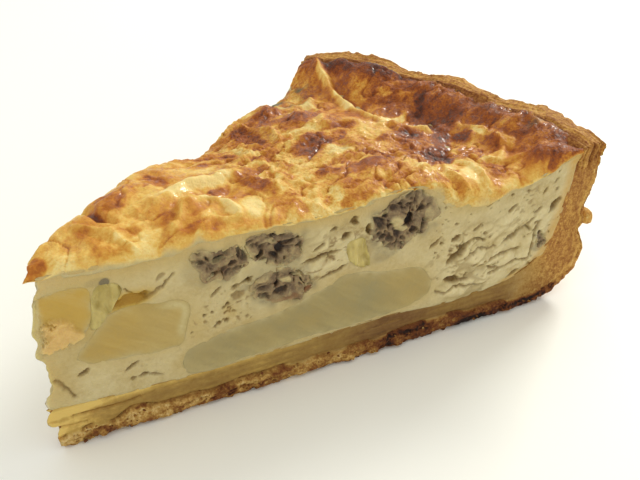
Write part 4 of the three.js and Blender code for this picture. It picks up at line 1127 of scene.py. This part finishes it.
def makeThroughPiece(name, along, height, depth, into, marks, material):
    # A piece that runs right through the tip: the shown face, its like on the hidden cut and a wall
    # between. What would pass the tip's outline is squeezed into the last millimetre before it.
    faceRows = into == 0
    share = np.linspace(0, 1, 12)[1:-1, None, None]
    along, height, depth = (a[faceRows] for a in (along, height, depth))
    start, band, past = tipLine(height) - 0.15, 1.0, 0.8
    squeezed = start + band * (along - past) / (start + band - past)
    radius = np.where(along < start + band, squeezed, along)
    rows = []
    for side, order in (("front", slice(None)), ("back", slice(None, None, -1))):
        r = radius[order] + (0 if side == "front" else tipSpread)
        row = cutAlong[side] * r[..., None] - cutOut[side] * depth[order][..., None]
        row[..., 0] += apexX
        row[..., 2] = height[order]
        rows.append(row)
    between = rows[0][-1][None] * (1 - share) + rows[1][0][None] * share
    rough = 0.35 * layeredNoise(between.reshape(-1, 3), 1.8, 130, 3).reshape(between.shape[:2])
    between[..., 0] += rough * (between[..., 0] < apexX + 6)
    p = np.concatenate([rows[0], between, rows[1]])
    marks = {mark: m[faceRows] for mark, m in marks.items()}
    marks = {mark: np.concatenate([m, np.broadcast_to(m[-1], between.shape[:2]), m[::-1]])
             for mark, m in marks.items()}
    count, sides = p.shape[:2]
    p, marks = withPoles(p, marks)
    faces = polarFaces(count, sides, outlines[name], False)
    addPiece(name + "_food", p, faces, material, name, marks)


# Melted cheese: browned top with folds, blisters and oily hollows

topLook = {
    "alongCells": 384,
    "acrossCells": 272,
    "throughCells": 10,
    "seat": 105.9,        # radius of its outer edge at the underside
    "edge": 108.7,        # and at the top
    "grain": 0.2,
    "wrinkle": 0.5,
    "mottle": 0.2,        # how much the browning varies from place to place
    "lump": 1.1,          # mm
    "pebble": 1.2,        # mm
    "tipLow": 3.9,        # radius where it begins at the underside
    "tipHigh": 2.4,       # and at the top
    # Rows: x, y, half length, half width, turn in degrees, amount
    "browning": [
        (-53.5, 0, 2.6, 1.8, 0, 0.3), (-35.8, 5, 4.8, 3.4, 15, 0.16), (-40.8, 3, 0.9, 2.4, 0, 0.5),
        (-26.3, 6.5, 1.8, 2.6, 0, 0.3), (-22.8, 0.6, 9, 1.3, -5, -0.22), (-20.5, -2.6, 4, 1.2, 15, 0.32),
        (-29, -9.6, 4.2, 1.3, -20, 0.18), (-22.5, -8.5, 1.5, 2.4, 0, -0.2),
        (-33.3, -4.5, 2.6, 1.2, 0, 0.14), (-36.3, -5, 2.6, 2.6, 0, -0.2),
        (-18.3, -10.5, 2.6, 4, 0, -0.22), (-13.3, -5, 2.2, 5, 5, 0.28), (-10.3, -12, 2.4, 1.8, 0, 0.2),
        (-4.3, 3, 2.6, 2.1, 0, 0.36), (3.2, 16, 7, 2.8, 75, 0.46), (6.2, 0.4, 6, 4, 15, 0.46),
        (7.7, -5.5, 3.6, 2.2, -20, -0.2), (5.7, -15.5, 5.5, 4.2, 10, 0.18), (6.2, -15, 3, 2, 0, 0.1),
        (12.7, -14, 1.4, 1.9, 0, 0.4), (24.2, -17.5, 5.5, 3.4, 30, 0.56), (33, -12, 7, 2.4, 35, 0.42),
        (26, -9.5, 7, 4.5, 30, 0.22), (21.2, -26, 4, 4, 0, -0.18), (19.2, -25, 1.8, 1, 0, 0.4),
        (28.7, -28, 3.5, 4, 0, 0.16), (33.7, -26.5, 4.4, 5.5, 0, -0.1), (39.7, -18, 0.9, 4.5, 0, -0.3),
        (45.8, -23.6, 2.8, 6, 12, -0.28), (38.2, -33.5, 4.6, 2.3, -15, 0.2), (37.7, -36, 3.2, 1, 0, 0.4),
        (40.7, -5, 6.5, 6.5, -40, 0.36), (45.2, 2, 2.4, 2.4, 0, 0.3), (43.2, 12, 1.2, 2.2, 0, -0.25),
        (47.2, 31, 4.2, 9, -10, 0.24), (40.8, 29.7, 6, 1.5, 62, -0.24), (36.2, 20, 5.5, 1.5, 68, -0.22),
        (33, 12.4, 4, 1.5, 64, -0.2), (30.7, 7, 3.4, 1.2, 73, -0.16), (29.4, 1.8, 3.4, 0.9, 78, -0.12),
        (43.6, 28.6, 5, 1, 62, 0.12), (41, 17, 4, 3, 60, -0.14), (35, 2.4, 3.8, 1.1, -8, -0.32),
        (31.6, -4, 3.8, 1.1, -48, -0.28), (36, -11, 5, 1.8, -30, 0.3), (29.4, -8, 2.6, 1.4, -45, 0.22),
        (43, 1, 4.4, 1.2, 25, 0.3), (28.2, 7.5, 9, 12, 0, -0.04), (26.2, 10, 8, 5, 0, 0.14),
        (15.2, 24, 4, 4, 0, 0.2), (14.7, 12.5, 3.6, 4, 45, 0.26), (51.7, 15, 2.6, 10, 0, 0.3),
        (47, 20, 3, 8, 0, 0.12), (8, 11, 2.2, 2.4, 0, -0.16), (44, 12, 1, 2, 0, -0.2),
        (-46, 0, 3.4, 1.8, 10, 0.12), (-44, -4.6, 3, 1.2, -20, 0.12), (-8, 10, 3, 2, 30, 0.24),
        (-2, -10, 3, 1.6, 20, 0.22), (18, 2, 3.4, 1.2, -30, 0.26), (20, 30, 4, 1.4, 20, 0.2),
        (-16, 8, 3, 1.6, 20, 0.24), (2.4, -17.6, 3.4, 1.6, -30, -0.2), (25, -18.4, 2.4, 2.8, 0, 0.3),
        (28.4, -6, 3, 5.4, -15, 0.24), (12.4, -1, 3.8, 2, 30, 0.3), (2.6, -2.4, 3, 1.8, 0, 0.22),
        (18, -29, 2.6, 3.4, 0, 0.24), (38.2, -14, 2, 2, 0, 0.34), (26.4, 20.6, 3.4, 2, 40, -0.24),
        (37.6, 21.6, 3, 1.6, 60, -0.24), (-5, -16.6, 2, 2, 0, -0.22), (22.6, -24, 1.8, 1.6, 0, 0.24),
        (43.4, 27, 2.4, 1.8, 50, -0.2), (54, 2, 1.8, 2.6, 0, -0.2),
    ],
    # Grey of the blue cheese where it comes through
    "greying": [
        (25, 27, 6.5, 4.5, 0, 1.1), (26.2, 32, 3, 2.4, 0, 0.8), (35.7, 32.5, 1.6, 1.6, 0, 1.2),
        (50.7, -15, 3, 5, 0, 0.7), (46.7, -27.5, 2.6, 3.5, 0, 0.7), (7.7, -5.5, 3, 2, -20, 0.4),
        (12, -30.6, 3, 1.4, -21, 0.6),
    ],
    # Fine lumps instead of a smooth skin
    "crumbly": [
        (3.2, 16, 8, 4, 75, 1), (-4, 4, 8, 8, 0, 0.8), (-13, -5, 4, 6, 0, 0.6), (28.7, -28, 4, 5, 0, 0.6),
        (-30, 3, 6, 3, 0, 0.5), (6, 0, 6, 4, 0, 0.5),
    ],
    # Smooth folds and runs of cheese that melted and set evenly
    "calm": [
        (-22, 1.4, 9.5, 1.9, -5, 1), (-27, -6.4, 5.4, 3.6, -10, 0.9), (29, 8, 8, 11, 0, 0.7),
        (36, -26, 3.6, 6, -20, 0.7), (37, 20, 15, 3, 66, 0.8), (33, -1, 5, 4, -40, 0.7),
        (21, -26, 4, 4, 0, 0.8), (6.5, -15.5, 5, 3.4, 10, 0.6), (-18, -10, 3, 4, 0, 0.6),
        (30, -33, 8, 3, -21, 0.7),
    ],
    # Folds of the skin: line as x and y, half width, rise of the lip or drop beside it
    "folds": [
        ([(-40.6, 6), (-40.2, 2), (-39, 0)], 0.7, -1.2),
        ([(-31, 0.2), (-24, 0.9), (-17, 1), (-14, 0.2)], 1.3, 0.9),
        ([(-33, -7), (-29, -4.2), (-24, -4.4), (-21.5, -7), (-22, -10.5)], 0.8, 0.9),
        ([(-32, -6), (-28.6, -3), (-23.6, -3.2)], 0.5, -0.9),
        ([(-31.5, -11), (-26, -9.6), (-22.6, -11.4)], 0.6, 0.7),
        ([(18, -30), (17.4, -25), (20, -22), (24, -22.6), (25.6, -26), (23.4, -30)], 0.8, 0.9),
        ([(30, -22), (33, -27), (38, -31)], 0.8, 0.6), ([(-12, 4), (-2, 6), (4, 4), (10, 5)], 0.9, 0.6),
        ([(10, -22), (16, -22), (22, -20), (30, -17)], 0.9, 0.7),
        ([(12, 6), (20, 3), (28, -2), (34, -8)], 1.0, 0.7),
        ([(8, 8), (16, 7), (22, 12), (24, 18)], 0.9, 0.7),
        ([(34, -26), (38, -24), (41, -18), (41.4, -10)], 0.8, 0.7),
        ([(43.5, 34.8), (38, 24.6), (34.5, 15.6), (31.5, 9.5), (30, 4.5), (28.8, -1), (27.5, -6)], 0.9, 1),
        ([(45.4, 33), (40.2, 23.6), (36.8, 14.6), (33.6, 8)], 1.2, -0.8),
        ([(31.6, 3.4), (35, 2.8), (39, 2.6)], 0.9, 0.8),
        ([(29.6, -2), (31.4, -4.4), (34, -7.4)], 0.9, 0.7), ([(-45, 3), (-41, -2), (-40, -7)], 0.6, 0.6),
        ([(-10, -17), (-6, -12), (-9, -6), (-6, 0)], 0.8, 0.6),
        ([(20, 24), (27, 22), (33, 26)], 0.8, 0.7), ([(6, 22), (8, 14), (5, 8)], 0.6, 0.6),
    ],
    # Rings on the shown cut: line as radius and height, half width, rise
    "rings": [
        ([(75.6, 33.6), (76.6, 31.2), (79.4, 29.6), (82.6, 30.2)], 0.35, 0.7),
        ([(78.4, 33.4), (79.8, 31.8), (82.4, 31.6), (84, 32.4)], 0.3, 0.6),
        ([(82.4, 28.2), (85.6, 27.6), (88.4, 29)], 0.4, 0.6),
        ([(84.6, 31.6), (86.2, 29.8), (88, 30)], 0.3, 0.5), ([(8, 33), (16, 32.4), (24, 33)], 0.4, 0.3),
        ([(58.6, 33.2), (61, 32.6), (63.6, 33.4)], 0.5, 0.6),
    ],
}


def topSkin(x, y):
    # Relief of the top and its marks. The relief adds up wrinkles, blisters, lumps, creases, beads and
    # pebbles, most of them weaker in the calm places, and the named folds.
    q = flat(x, y)
    warped = q + 1.6 * flat(noise(q, 7, 140), noise(q, 7, 141))
    nearX, nearY = x + 0.9 * layeredNoise(q, 3, 161, 3, 0.6), y + 0.9 * layeredNoise(q, 3, 162, 3, 0.6)
    calm = np.clip(patches(nearX, nearY, topLook["calm"]), 0, 1)
    calm = np.maximum(calm, 0.6 * smoothStep(nearX, -9, -19))
    rough = np.clip(patches(x, y, topLook["crumbly"]), 0, 1) * (1 - calm)
    wrinkle = 1 - 2 * np.abs(layeredNoise(warped, (9, 5.5, 1), 142, 4, 0.5))
    blister = smoothStep(cellDistance(warped, 4.6, 143)[0], 0.5, 0.0)
    blister *= smoothStep(noise(q, 9, 145), -0.1, 0.5)
    bead = smoothStep(cellDistance(warped, 1.25, 144)[0], 0.55, 0.1)
    fine = layeredNoise(q, 1.3, 146, 3, 0.6)
    pebble = np.sqrt(np.clip(1 - cellDistance(warped, (2.9, 2.3, 9), 170)[0] ** 2, 0, 1))
    pebble = (pebble - 0.88) * smoothStep(noise(q, 8, 171), -0.5, 0.2)
    lump = np.tanh(2.4 * layeredNoise(warped, 6, 165, 3, 0.5))
    crease = bump(layeredNoise(warped, (6.5, 5, 1), 166, 3), 0, 0.07)
    crease *= smoothStep(noise(q, 6, 167), -0.4, 0.2)
    relief = topLook["wrinkle"] * (wrinkle - 0.45) * (1 - 0.6 * calm) + 0.5 * blister
    relief += (topLook["lump"] * (0.5 * lump) - 0.55 * crease) * (1 - 0.75 * calm)
    relief += (topLook["grain"] + 0.3 * rough) * (fine + 0.9 * bead) * (1 - 0.8 * calm)
    relief += topLook["pebble"] * pebble * (1 - 0.7 * calm)
    lips = np.zeros_like(x)
    for points, width, rise in topLook["folds"]:
        lip = bump(lineDistance(x + 0.5 * noise(q, 3, 147), y + 0.5 * noise(q, 3, 148), points), 0, width)
        relief += rise * lip
        lips += np.sign(rise) * lip
    spots = patches(nearX, nearY, topLook["browning"], True)
    mottle = np.tanh(2.4 * layeredNoise(warped, 3.4, 156, 4, 0.6) + 0.5 * lump)
    grey = np.clip(patches(nearX, nearY, topLook["greying"]) * (0.5 + 0.9 * noise(q, 2.2, 158)), 0, 1)
    # Browning of the skin: named spots with warped edges, mottling and darker lumps; and painted light and
    # shade:
    # paler lips and wrinkle ridges, darker creases, wrinkle valleys and dropped folds
    brown = spots + topLook["mottle"] * mottle * (1 - 0.55 * calm)
    # Painted shade in the wrinkle valleys, creases and dropped folds, painted highlight on wrinkle ridges
    # and raised lips
    brown += 0.14 * (0.5 - wrinkle) * (1 - calm) + 0.12 * blister - 0.12 * lips + 0.16 * crease
    brown += 0.2 * np.maximum(spots, 0) * (2 * bead - 0.6) - 0.12 * bead * rough
    return relief, brown, grey, rough, calm


def topBlock():
    # Lattice of the layer: fine over the top and on both cuts, finer towards the rim, coarse below
    nu, nv, nw = topLook["alongCells"], topLook["acrossCells"], topLook["throughCells"]
    rows, through = np.arange(nu + 1), np.arange(nw + 1)
    share = rows / nu
    topSteps = np.where(share < 0.13, 8, np.where(share < 0.26, 4, np.where(share < 0.52, 2, 1)))
    single = np.ones(nu + 1, int)
    return blockMesh((nu, nv, nw), [
        (stripFaces(rows, topSteps, nv), (0, 1, 2, nw, False)),
        (stripFaces(rows, 16 * single, nv), (0, 1, 2, 0, True)),
        (stripFaces(through, np.where(through == 0, 16, 8), nv), (2, 1, 0, 0, False)),
        (stripFaces(through, np.where(through == 0, 16, 1), nv), (2, 1, 0, nu, True)),
        (stripFaces(rows, single, nw), (0, 2, 1, 0, False)),
        (stripFaces(rows, single, nw), (0, 2, 1, nv, True)),
    ])


def makeMeltedTop(material):
    # A layer from the tip to the rim. Its upper side is the top's height plus the skin's relief, and its
    # underside lies lower by the depth of the cheese.
    u, v, w, faces = topBlock()
    low, high = topLook["tipLow"], topLook["tipHigh"]
    tip = low + (high - low) * np.sqrt(w) + tipSpread * v
    edge = topLook["seat"] + (topLook["edge"] - topLook["seat"]) * w
    radius = tip + (edge - tip) * u
    x, y = fanPoint(radius, v, w).T[:2]
    base = topHeight(x, y) + 0.8 * (rimLine(v) - wedge["rimHeight"]) * smoothStep(radius, 99, 107)
    q = flat(x, y)
    relief, skin, grey, rough, calm = topSkin(x, y)
    # The skin rolls over the cuts
    toCut = np.minimum(v, 1 - v) * 2 * halfAngle * radius
    top = base + relief - 0.7 * np.exp(-toCut / 0.8)
    under = base - cheeseDepth(x, y) + 0.5 * layeredNoise(q, 2.6, 149, 2)
    height = under + (top - under) * w
    p = fanPoint(radius, v, height)
    rings = np.zeros_like(x)
    for points, width, rise in topLook["rings"]:
        ring = bump(lineDistance(radius, height + 0.3 * noise(q, 2, 164), points), 0, width) * (v == 0)
        rings = np.maximum(rings, ring * rise)
    cutPlace = flat(radius, height)
    push = 0.3 * layeredNoise(cutPlace + 500 * v[:, None], (4, 1.2, 1), 150, 4, 0.55) + rings
    pushOut(p, v, push + 0.55 * smoothStep(w, 0.1, 0.75) - 0.5 * w ** 3 - 0.16)
    p[:, 0] += (u == 0) * (0.7 * layeredNoise(p, 1.6, 152, 3) - 0.3 * np.sin(np.pi * w))
    # Browning: the skin's on a base that is darker at the far end and paler along the cuts, a painted
    # highlight on the rolled edge; the cut faces themselves are pale
    brown = 0.25 + 0.17 * smoothStep(radius, 91, 99) + skin
    brown += 0.09 * smoothStep(x, -12, 6) * smoothStep(v * radius, 4, 14)
    # Painted highlight: paler where the skin rolls over the cuts
    brown += 0.2 * smoothStep(radius, 103.5, 106.5) - 0.12 * np.exp(-toCut / 1.2)
    brown = np.where(brown > 0.58, 0.58 + 0.45 * (brown - 0.58), brown)
    onCut = (v == 0) | (v == 1)
    section = 0.12 + 0.12 * noise(cutPlace, (6, 2, 1), 157) - 0.14 * rings
    custardy = onCut * smoothStep(w + 0.3 * noise(cutPlace, 2.4, 168), 0.85, 0.25)
    custardy *= 1 - 0.8 * blob(radius, height, 82, 30, 8, 5, 0)
    brown = np.where(onCut, brown * w ** 3 + section * (1 - w ** 3), brown)
    brown = np.where((w == 0) | (u == 0) & (w < 0.5), 0.2, brown)
    wet = np.clip(0.3 + 0.6 * noise(q, 6, 159) + 0.5 * (brown - 0.4) - 0.3 * rough + 0.2 * calm, 0, 1)
    addPiece("browned_top", p, faces, material, "melted_cheese",
             {"brown": brown, "grey": grey * w, "wet": wet, "rough": rough, "calm": calm, "under": custardy})


# Crumbs of pastry: small torn lumps along the foot of both cuts, and one on the wall

crumbLook = {"alongFoot": 170, "smallest": 0.16, "largest": 0.55, "stuckRadius": 113.4}    # sizes in mm


def makeCrumbs(material):
    # Balls with corners moved at random, strewn by seed along both cuts, and the first one on the wall
    draw = np.random.default_rng(77)
    count = crumbLook["alongFoot"]
    size = crumbLook["smallest"] + (crumbLook["largest"] - crumbLook["smallest"]) * draw.random(count) ** 3
    radius = 5 + 98 * draw.random(count)
    height = 0.5 + 3 * draw.random(count)
    out = 0.5 + 0.3 * draw.random(count)
    back = draw.random(count) < 0.35
    # One crumb: a ball of 8 by 5 corners, each moved in or out at random and flattened
    rings, sides = 5, 8
    polar = np.pi * (np.arange(rings) + 1) / (rings + 1)
    turn = 2 * np.pi * np.arange(sides) / sides
    ball = np.stack([np.sin(polar)[:, None] * np.cos(turn), np.sin(polar)[:, None] * np.sin(turn),
                     np.cos(polar)[:, None] * np.ones(sides)], -1).reshape(-1, 3)
    ball = np.concatenate([[[0, 0, 1]], ball, [[0, 0, -1]]])
    shape = ball[None] * (0.65 + 0.5 * draw.random((count, len(ball), 1)))
    shape = shape * (0.55 + 0.6 * draw.random((count, 1, 3))) * size[:, None, None]
    shape[:, :, 2] *= 0.7
    at = np.where(back[:, None], cutAlong["back"], cutAlong["front"]) * radius[:, None]
    at += np.where(back[:, None], cutOut["back"], cutOut["front"]) * out[:, None]
    at[:, 0] += apexX
    at[:, 2] = height
    stuck = pastry["stuckCrumb"]
    angle, away = stuck["arc"] / wedge["rimRadius"], crumbLook["stuckRadius"]
    at[0] = [apexX + away * math.cos(angle), away * math.sin(angle), stuck["height"]]
    shape[0] = ball * (1.5 + 0.5 * draw.random((len(ball), 1)))
    p = (shape + at[:, None]).reshape(-1, 3)
    p[:, 2] = np.maximum(p[:, 2], 0.02)
    circle = np.stack([np.cos(turn), np.sin(turn)], 1)
    quads, triangles = polarFaces(rings, sides, circle, False)
    offset = np.arange(count)[:, None, None] * len(ball)
    faces = ((quads[None] + offset).reshape(-1, 4), (triangles[None] + offset).reshape(-1, 3))
    bake = np.repeat(0.3 + 0.4 * draw.random(count), len(ball))
    bake[:len(ball)] = 0.24
    addPiece("pastry_crumbs", p, faces, material, None,
             {"bake": bake, "dough": 0 * bake, "tone": 0 * bake,
              "golden": (np.arange(len(bake)) < len(ball)) * 1.0})


# Finishes: colours are sRGB, as a ramp's stops or as paints laid over each other by the marks

def soften(specular, weight, scale, radius=(1.0, 0.2, 0.1)):
    # Sockets that are the same all over: the gloss, and how far light goes in, in metres
    return {"Specular IOR Level": specular, "Subsurface Weight": weight, "Subsurface Scale": scale,
            "Subsurface Radius": radius}


def ramp(wire, stops):
    # Colour by the value, from stops of places and colours
    coloured = [(at, linear(colour)) for at, colour in stops]
    return wire.node("ShaderNodeValToRGB", {"stops": coloured}, {"Fac": wire})


def pastryFinish():
    look = {"stops": [(0.0, "dcbe78"), (0.2, "cc9a48"), (0.4, "a87234"), (0.56, "885020"), (0.72, "643210"),
                      (0.88, "3c1c0c"), (1.0, "20100a")],
            "crumbly": [(0.0, "d8bc80"), (0.18, "c09a56"), (0.36, "9c7236"), (0.52, "805022"),
                        (0.7, "643414"), (0.88, "3c1c0c"), (1.0, "20100a")],
            "dough": [(0.0, "dcbc68"), (0.15, "b8964a"), (0.4, "927234"), (0.85, "663e18"), (1.0, "4a2a10")]}
    paint = Finish("pastry_baked")
    bake, dough = paint.mark("bake"), paint.mark("dough")
    fine, speck, coarse = paint.grain(0.9, 4, 0.62), paint.grain(0.42, 3, 0.6), paint.grain(4, 3)
    level = bake + ((fine - 0.5) * 0.7 + (speck - 0.5) * 0.7) * (1 - 0.7 * dough) + (coarse - 0.5) * 0.16
    level = level.clip()
    colour = paint.mark("golden").blend(ramp(level, look["crumbly"]), ramp(level, look["stops"]))
    inner = ramp((paint.mark("tone") + (fine - 0.5) * 0.3 + (coarse - 0.5) * 0.3).clip(), look["dough"])
    colour = (dough * (1 - (bake - 0.05) * 1.9).clip() * 0.9).clip().blend(colour, inner)
    height = fine * (1 - 0.8 * dough) + speck * 0.35
    return paint.surface(colour, 0.62 + 0.2 * fine, height, 0.3,
                         soften(0.25, 0.1, 0.0015, (1.0, 0.55, 0.25)))


def custardFinish():
    look = {"base": "c2b07e", "pale": "dacb9c", "warm": "b29a60", "hole": "76541e", "amber": "a87c18",
            "gold": "bc9a40", "grey": "7a6e52", "toast": "c8a258"}
    paint = Finish("custard_set")
    fine, coarse, speck = paint.grain(0.8, 4, 0.6), paint.grain(6, 2), paint.grain(0.35, 3)
    colour = coarse.between(0.35, 0.7).blend(linear(look["base"]), linear(look["warm"]))
    # The pale mark: the filling's own paler flakes, with a painted highlight on the raised curds
    colour = (paint.mark("pale") + (fine - 0.55) * 0.9).clip().blend(colour, linear(look["pale"]))
    # Gold: the filling's own warm yellow, with a painted glow of light near the tip
    colour = paint.tint(colour, "gold", 0.45 + 0.5 * fine, look["gold"])
    colour = paint.tint(colour, "stain", fine * 1.6, look["grey"])
    colour = paint.tint(colour, "toast", 0.4 + 0.8 * fine, look["toast"])
    # Painted light: where the gold mark is high the pores' painted shade turns amber, a glow of light
    # through the filling
    deep = (paint.mark("gold") - 0.8).clip().blend(linear(look["hole"]), linear(look["amber"]))
    # Painted shade: the hollows' mark darkens the pores, cracks, seams and torn hollows
    colour = (paint.mark("hole") * 0.95).clip().blend(colour, deep)
    return paint.surface(colour, 0.42 + 0.25 * fine, fine + 0.5 * speck, 0.2,
                         soften(0.4, 0.25, 0.002, (1.0, 0.8, 0.4)))


def potatoFinish():
    look = {"base": "998c5e", "gold": "c09c40", "light": "cabc88", "peach": "dab470", "custard": "bfae7c"}
    paint = Finish("potato_cooked")
    cloud, fine = paint.grain(5, 3), paint.grain(0.6, 3, 0.6)
    gold = (paint.mark("gold") + (cloud - 0.5) * 0.3 + (fine - 0.5) * 0.25).clip()
    colour = gold.blend(linear(look["base"]), linear(look["gold"]))
    # The light mark: the pieces' own lighter streaks, with a painted highlight on the cube's edge and
    # painted light at the tip
    colour = paint.tint(colour, "light", 0.4 + 0.7 * fine, look["light"])
    colour = paint.tint(colour, "fade", 0.5 + 0.8 * fine, look["custard"])
    colour = paint.tint(colour, "peach", 0.4 + 0.8 * fine, look["peach"])
    return paint.surface(colour, 0.34 + 0.2 * cloud, fine, 0.07, soften(0.45, 0.3, 0.003, (1.0, 0.85, 0.35)))


def onionFinish():
    look = {"base": "a08a3c", "light": "cab66e"}
    paint = Finish("onion_soft")
    fine = paint.grain(1.2, 3)
    light = (paint.mark("light") + (fine - 0.5) * 0.6).clip()
    colour = light.blend(linear(look["base"]), linear(look["light"]))
    return paint.surface(colour, 0.3, paint.grain(0.7, 3), 0.1, soften(0.5, 0.4, 0.003, (1.0, 0.85, 0.4)))


def blueCheeseFinish():
    look = {"stops": [(0.0, "281c16"), (0.2, "4a3727"), (0.42, "725c42"), (0.65, "907a56"), (0.85, "b29e6c"),
                      (1.0, "c8b888")],
            "cream": "c4b27e", "rust": "70401c"}
    paint = Finish("blue_cheese_marbled")
    fine, speck = paint.grain(0.8, 4, 0.65, 0.8), paint.grain(0.4, 3)
    level = paint.mark("level") + (fine - 0.5) * 0.6 + (speck - 0.5) * 0.3
    colour = ramp(level.clip(), look["stops"])
    colour = paint.tint(colour, "rust", 0.3 + fine, look["rust"])
    colour = paint.tint(colour, "cream", 0.4 + fine, look["cream"])
    return paint.surface(colour, 0.45 + 0.3 * fine, fine + 0.4 * speck, 0.2, soften(0.4, 0.1, 0.0015))


def brownedFinish():
    look = {"stops": [(0.0, "ecd288"), (0.15, "e2b85c"), (0.3, "d09438"), (0.45, "b87022"), (0.6, "944c14"),
                      (0.75, "6a300e"), (0.9, "3e1c0a"), (1.0, "240f08")],
            "grey": "6e6444", "custard": "c2b07e"}
    paint = Finish("cheese_browned")
    fine, speck = paint.grain(1.0, 4, 0.65, 0.5), paint.grain(0.45, 3, 0.6)
    coarse = paint.grain(5, 3, 0.5, 0.8)
    rough, lively = paint.mark("rough"), 1 - 0.7 * paint.mark("calm")
    # The browning mark also holds painted shade in creases and a painted highlight on ridges, lips and
    # rolled edges
    level = paint.mark("brown") + ((fine - 0.5) * 0.6 + (speck - 0.5) * 0.45) * lively
    colour = ramp((level + (coarse - 0.5) * 0.15).clip(), look["stops"])
    colour = paint.mark("grey").clip().blend(colour, linear(look["grey"]))
    colour = paint.tint(colour, "under", 0.5 + fine, look["custard"])
    height = (fine * (0.8 + 0.6 * rough) + speck * 0.5) * lively + coarse * 0.5
    roughness = 0.58 - 0.34 * speck.between(0.5, 0.68) * lively
    return paint.surface(colour, roughness, height, 0.4,
                         {"Coat Roughness": 0.08, **soften(0.24, 0.12, 0.002, (1.0, 0.5, 0.2))},
                         paint.mark("wet") * fine.between(0.46, 0.58) * 0.7)


# Camera, floor and light

view = {
    "lens": 42.46,            # millimetres
    "sensor": 36.0,
    "azimuth": -46.742,       # degrees
    "elevation": 30.79,
    "distance": 150.73,
    "target": (1.836, -6.21, 18.0),
}


def addCamera():
    # On a sphere round the target, at the azimuth and elevation, looking at it
    data = bpy.data.cameras.new("camera")
    data.lens = view["lens"]
    data.sensor_width = view["sensor"]
    data.clip_start = 0.005
    data.clip_end = 10.0
    data.dof.use_dof = False
    camera = addObject("camera", data)
    azimuth, elevation = math.radians(view["azimuth"]), math.radians(view["elevation"])
    camera.rotation_euler = (math.pi / 2 - elevation, 0.0, azimuth)
    back = np.array([math.sin(azimuth) * math.cos(elevation),
                     -math.cos(azimuth) * math.cos(elevation), math.sin(elevation)])
    camera.location = (np.array(view["target"]) + back * view["distance"]) * metre
    bpy.context.scene.camera = camera


studio = {
    "floorSize": 6.0,          # metres
    "floorColour": "f8f8f2",
    "skyColour": "fffef8",
    "skyStrength": 0.9,
    "windowColour": "fffdf4",
    "windowPower": 3.9,
    "windowSize": (0.26, 0.18),
    "windowPlace": (0.74, 0.06, 0.44),
    "windowAim": (0, 0, 0.02),
}


def addWindow():
    # Area light, its -Z turned along the line from its place to the aim
    data = bpy.data.lights.new("window", "AREA")
    data.shape = "RECTANGLE"
    data.size, data.size_y = studio["windowSize"]
    data.energy = studio["windowPower"]
    data.color = linear(studio["windowColour"])[:3]
    window = addObject("window", data)
    window.location = studio["windowPlace"]
    direction = np.array(studio["windowAim"]) - np.array(studio["windowPlace"])
    window.rotation_euler = (math.atan2(math.hypot(direction[0], direction[1]), -direction[2]), 0.0,
                             math.atan2(direction[1], direction[0]) - math.pi / 2)


def addStudio():
    # Level white floor, an even sky and one soft window
    half = studio["floorSize"] / 2
    mesh = bpy.data.meshes.new("floor")
    corners = [(-half, -half, 0), (half, -half, 0), (half, half, 0), (-half, half, 0)]
    mesh.from_pydata(corners, [], [(0, 1, 2, 3)])
    paint = Finish("floor_white")
    gloss = {"Specular IOR Level": 0.3}
    mesh.materials.append(paint.surface(linear(studio["floorColour"]), 0.5, 0.0, 0.0, gloss))
    floor = addObject("floor", mesh)
    world = bpy.data.worlds.new("sky")
    world.use_nodes = True
    sky = world.node_tree.nodes["Background"]
    sky.inputs["Color"].default_value = linear(studio["skyColour"])
    sky.inputs["Strength"].default_value = studio["skyStrength"]
    bpy.context.scene.world = world
    addWindow()
    bpy.context.scene.view_settings.view_transform = "Standard"


addCamera()
addStudio()
print("camera and studio ready")
pastryMaterial = pastryFinish()
makeCrust(pastryMaterial)
makeCustard(custardFinish())
insetMaterials = {"potato": potatoFinish(), "onion": onionFinish(), "blue": blueCheeseFinish()}
for insetName in insets:
    makeInset(insetName, insetMaterials[insetName.split("_")[0]])
makeMeltedTop(brownedFinish())
makeCrumbs(pastryMaterial)
print("all pieces made")
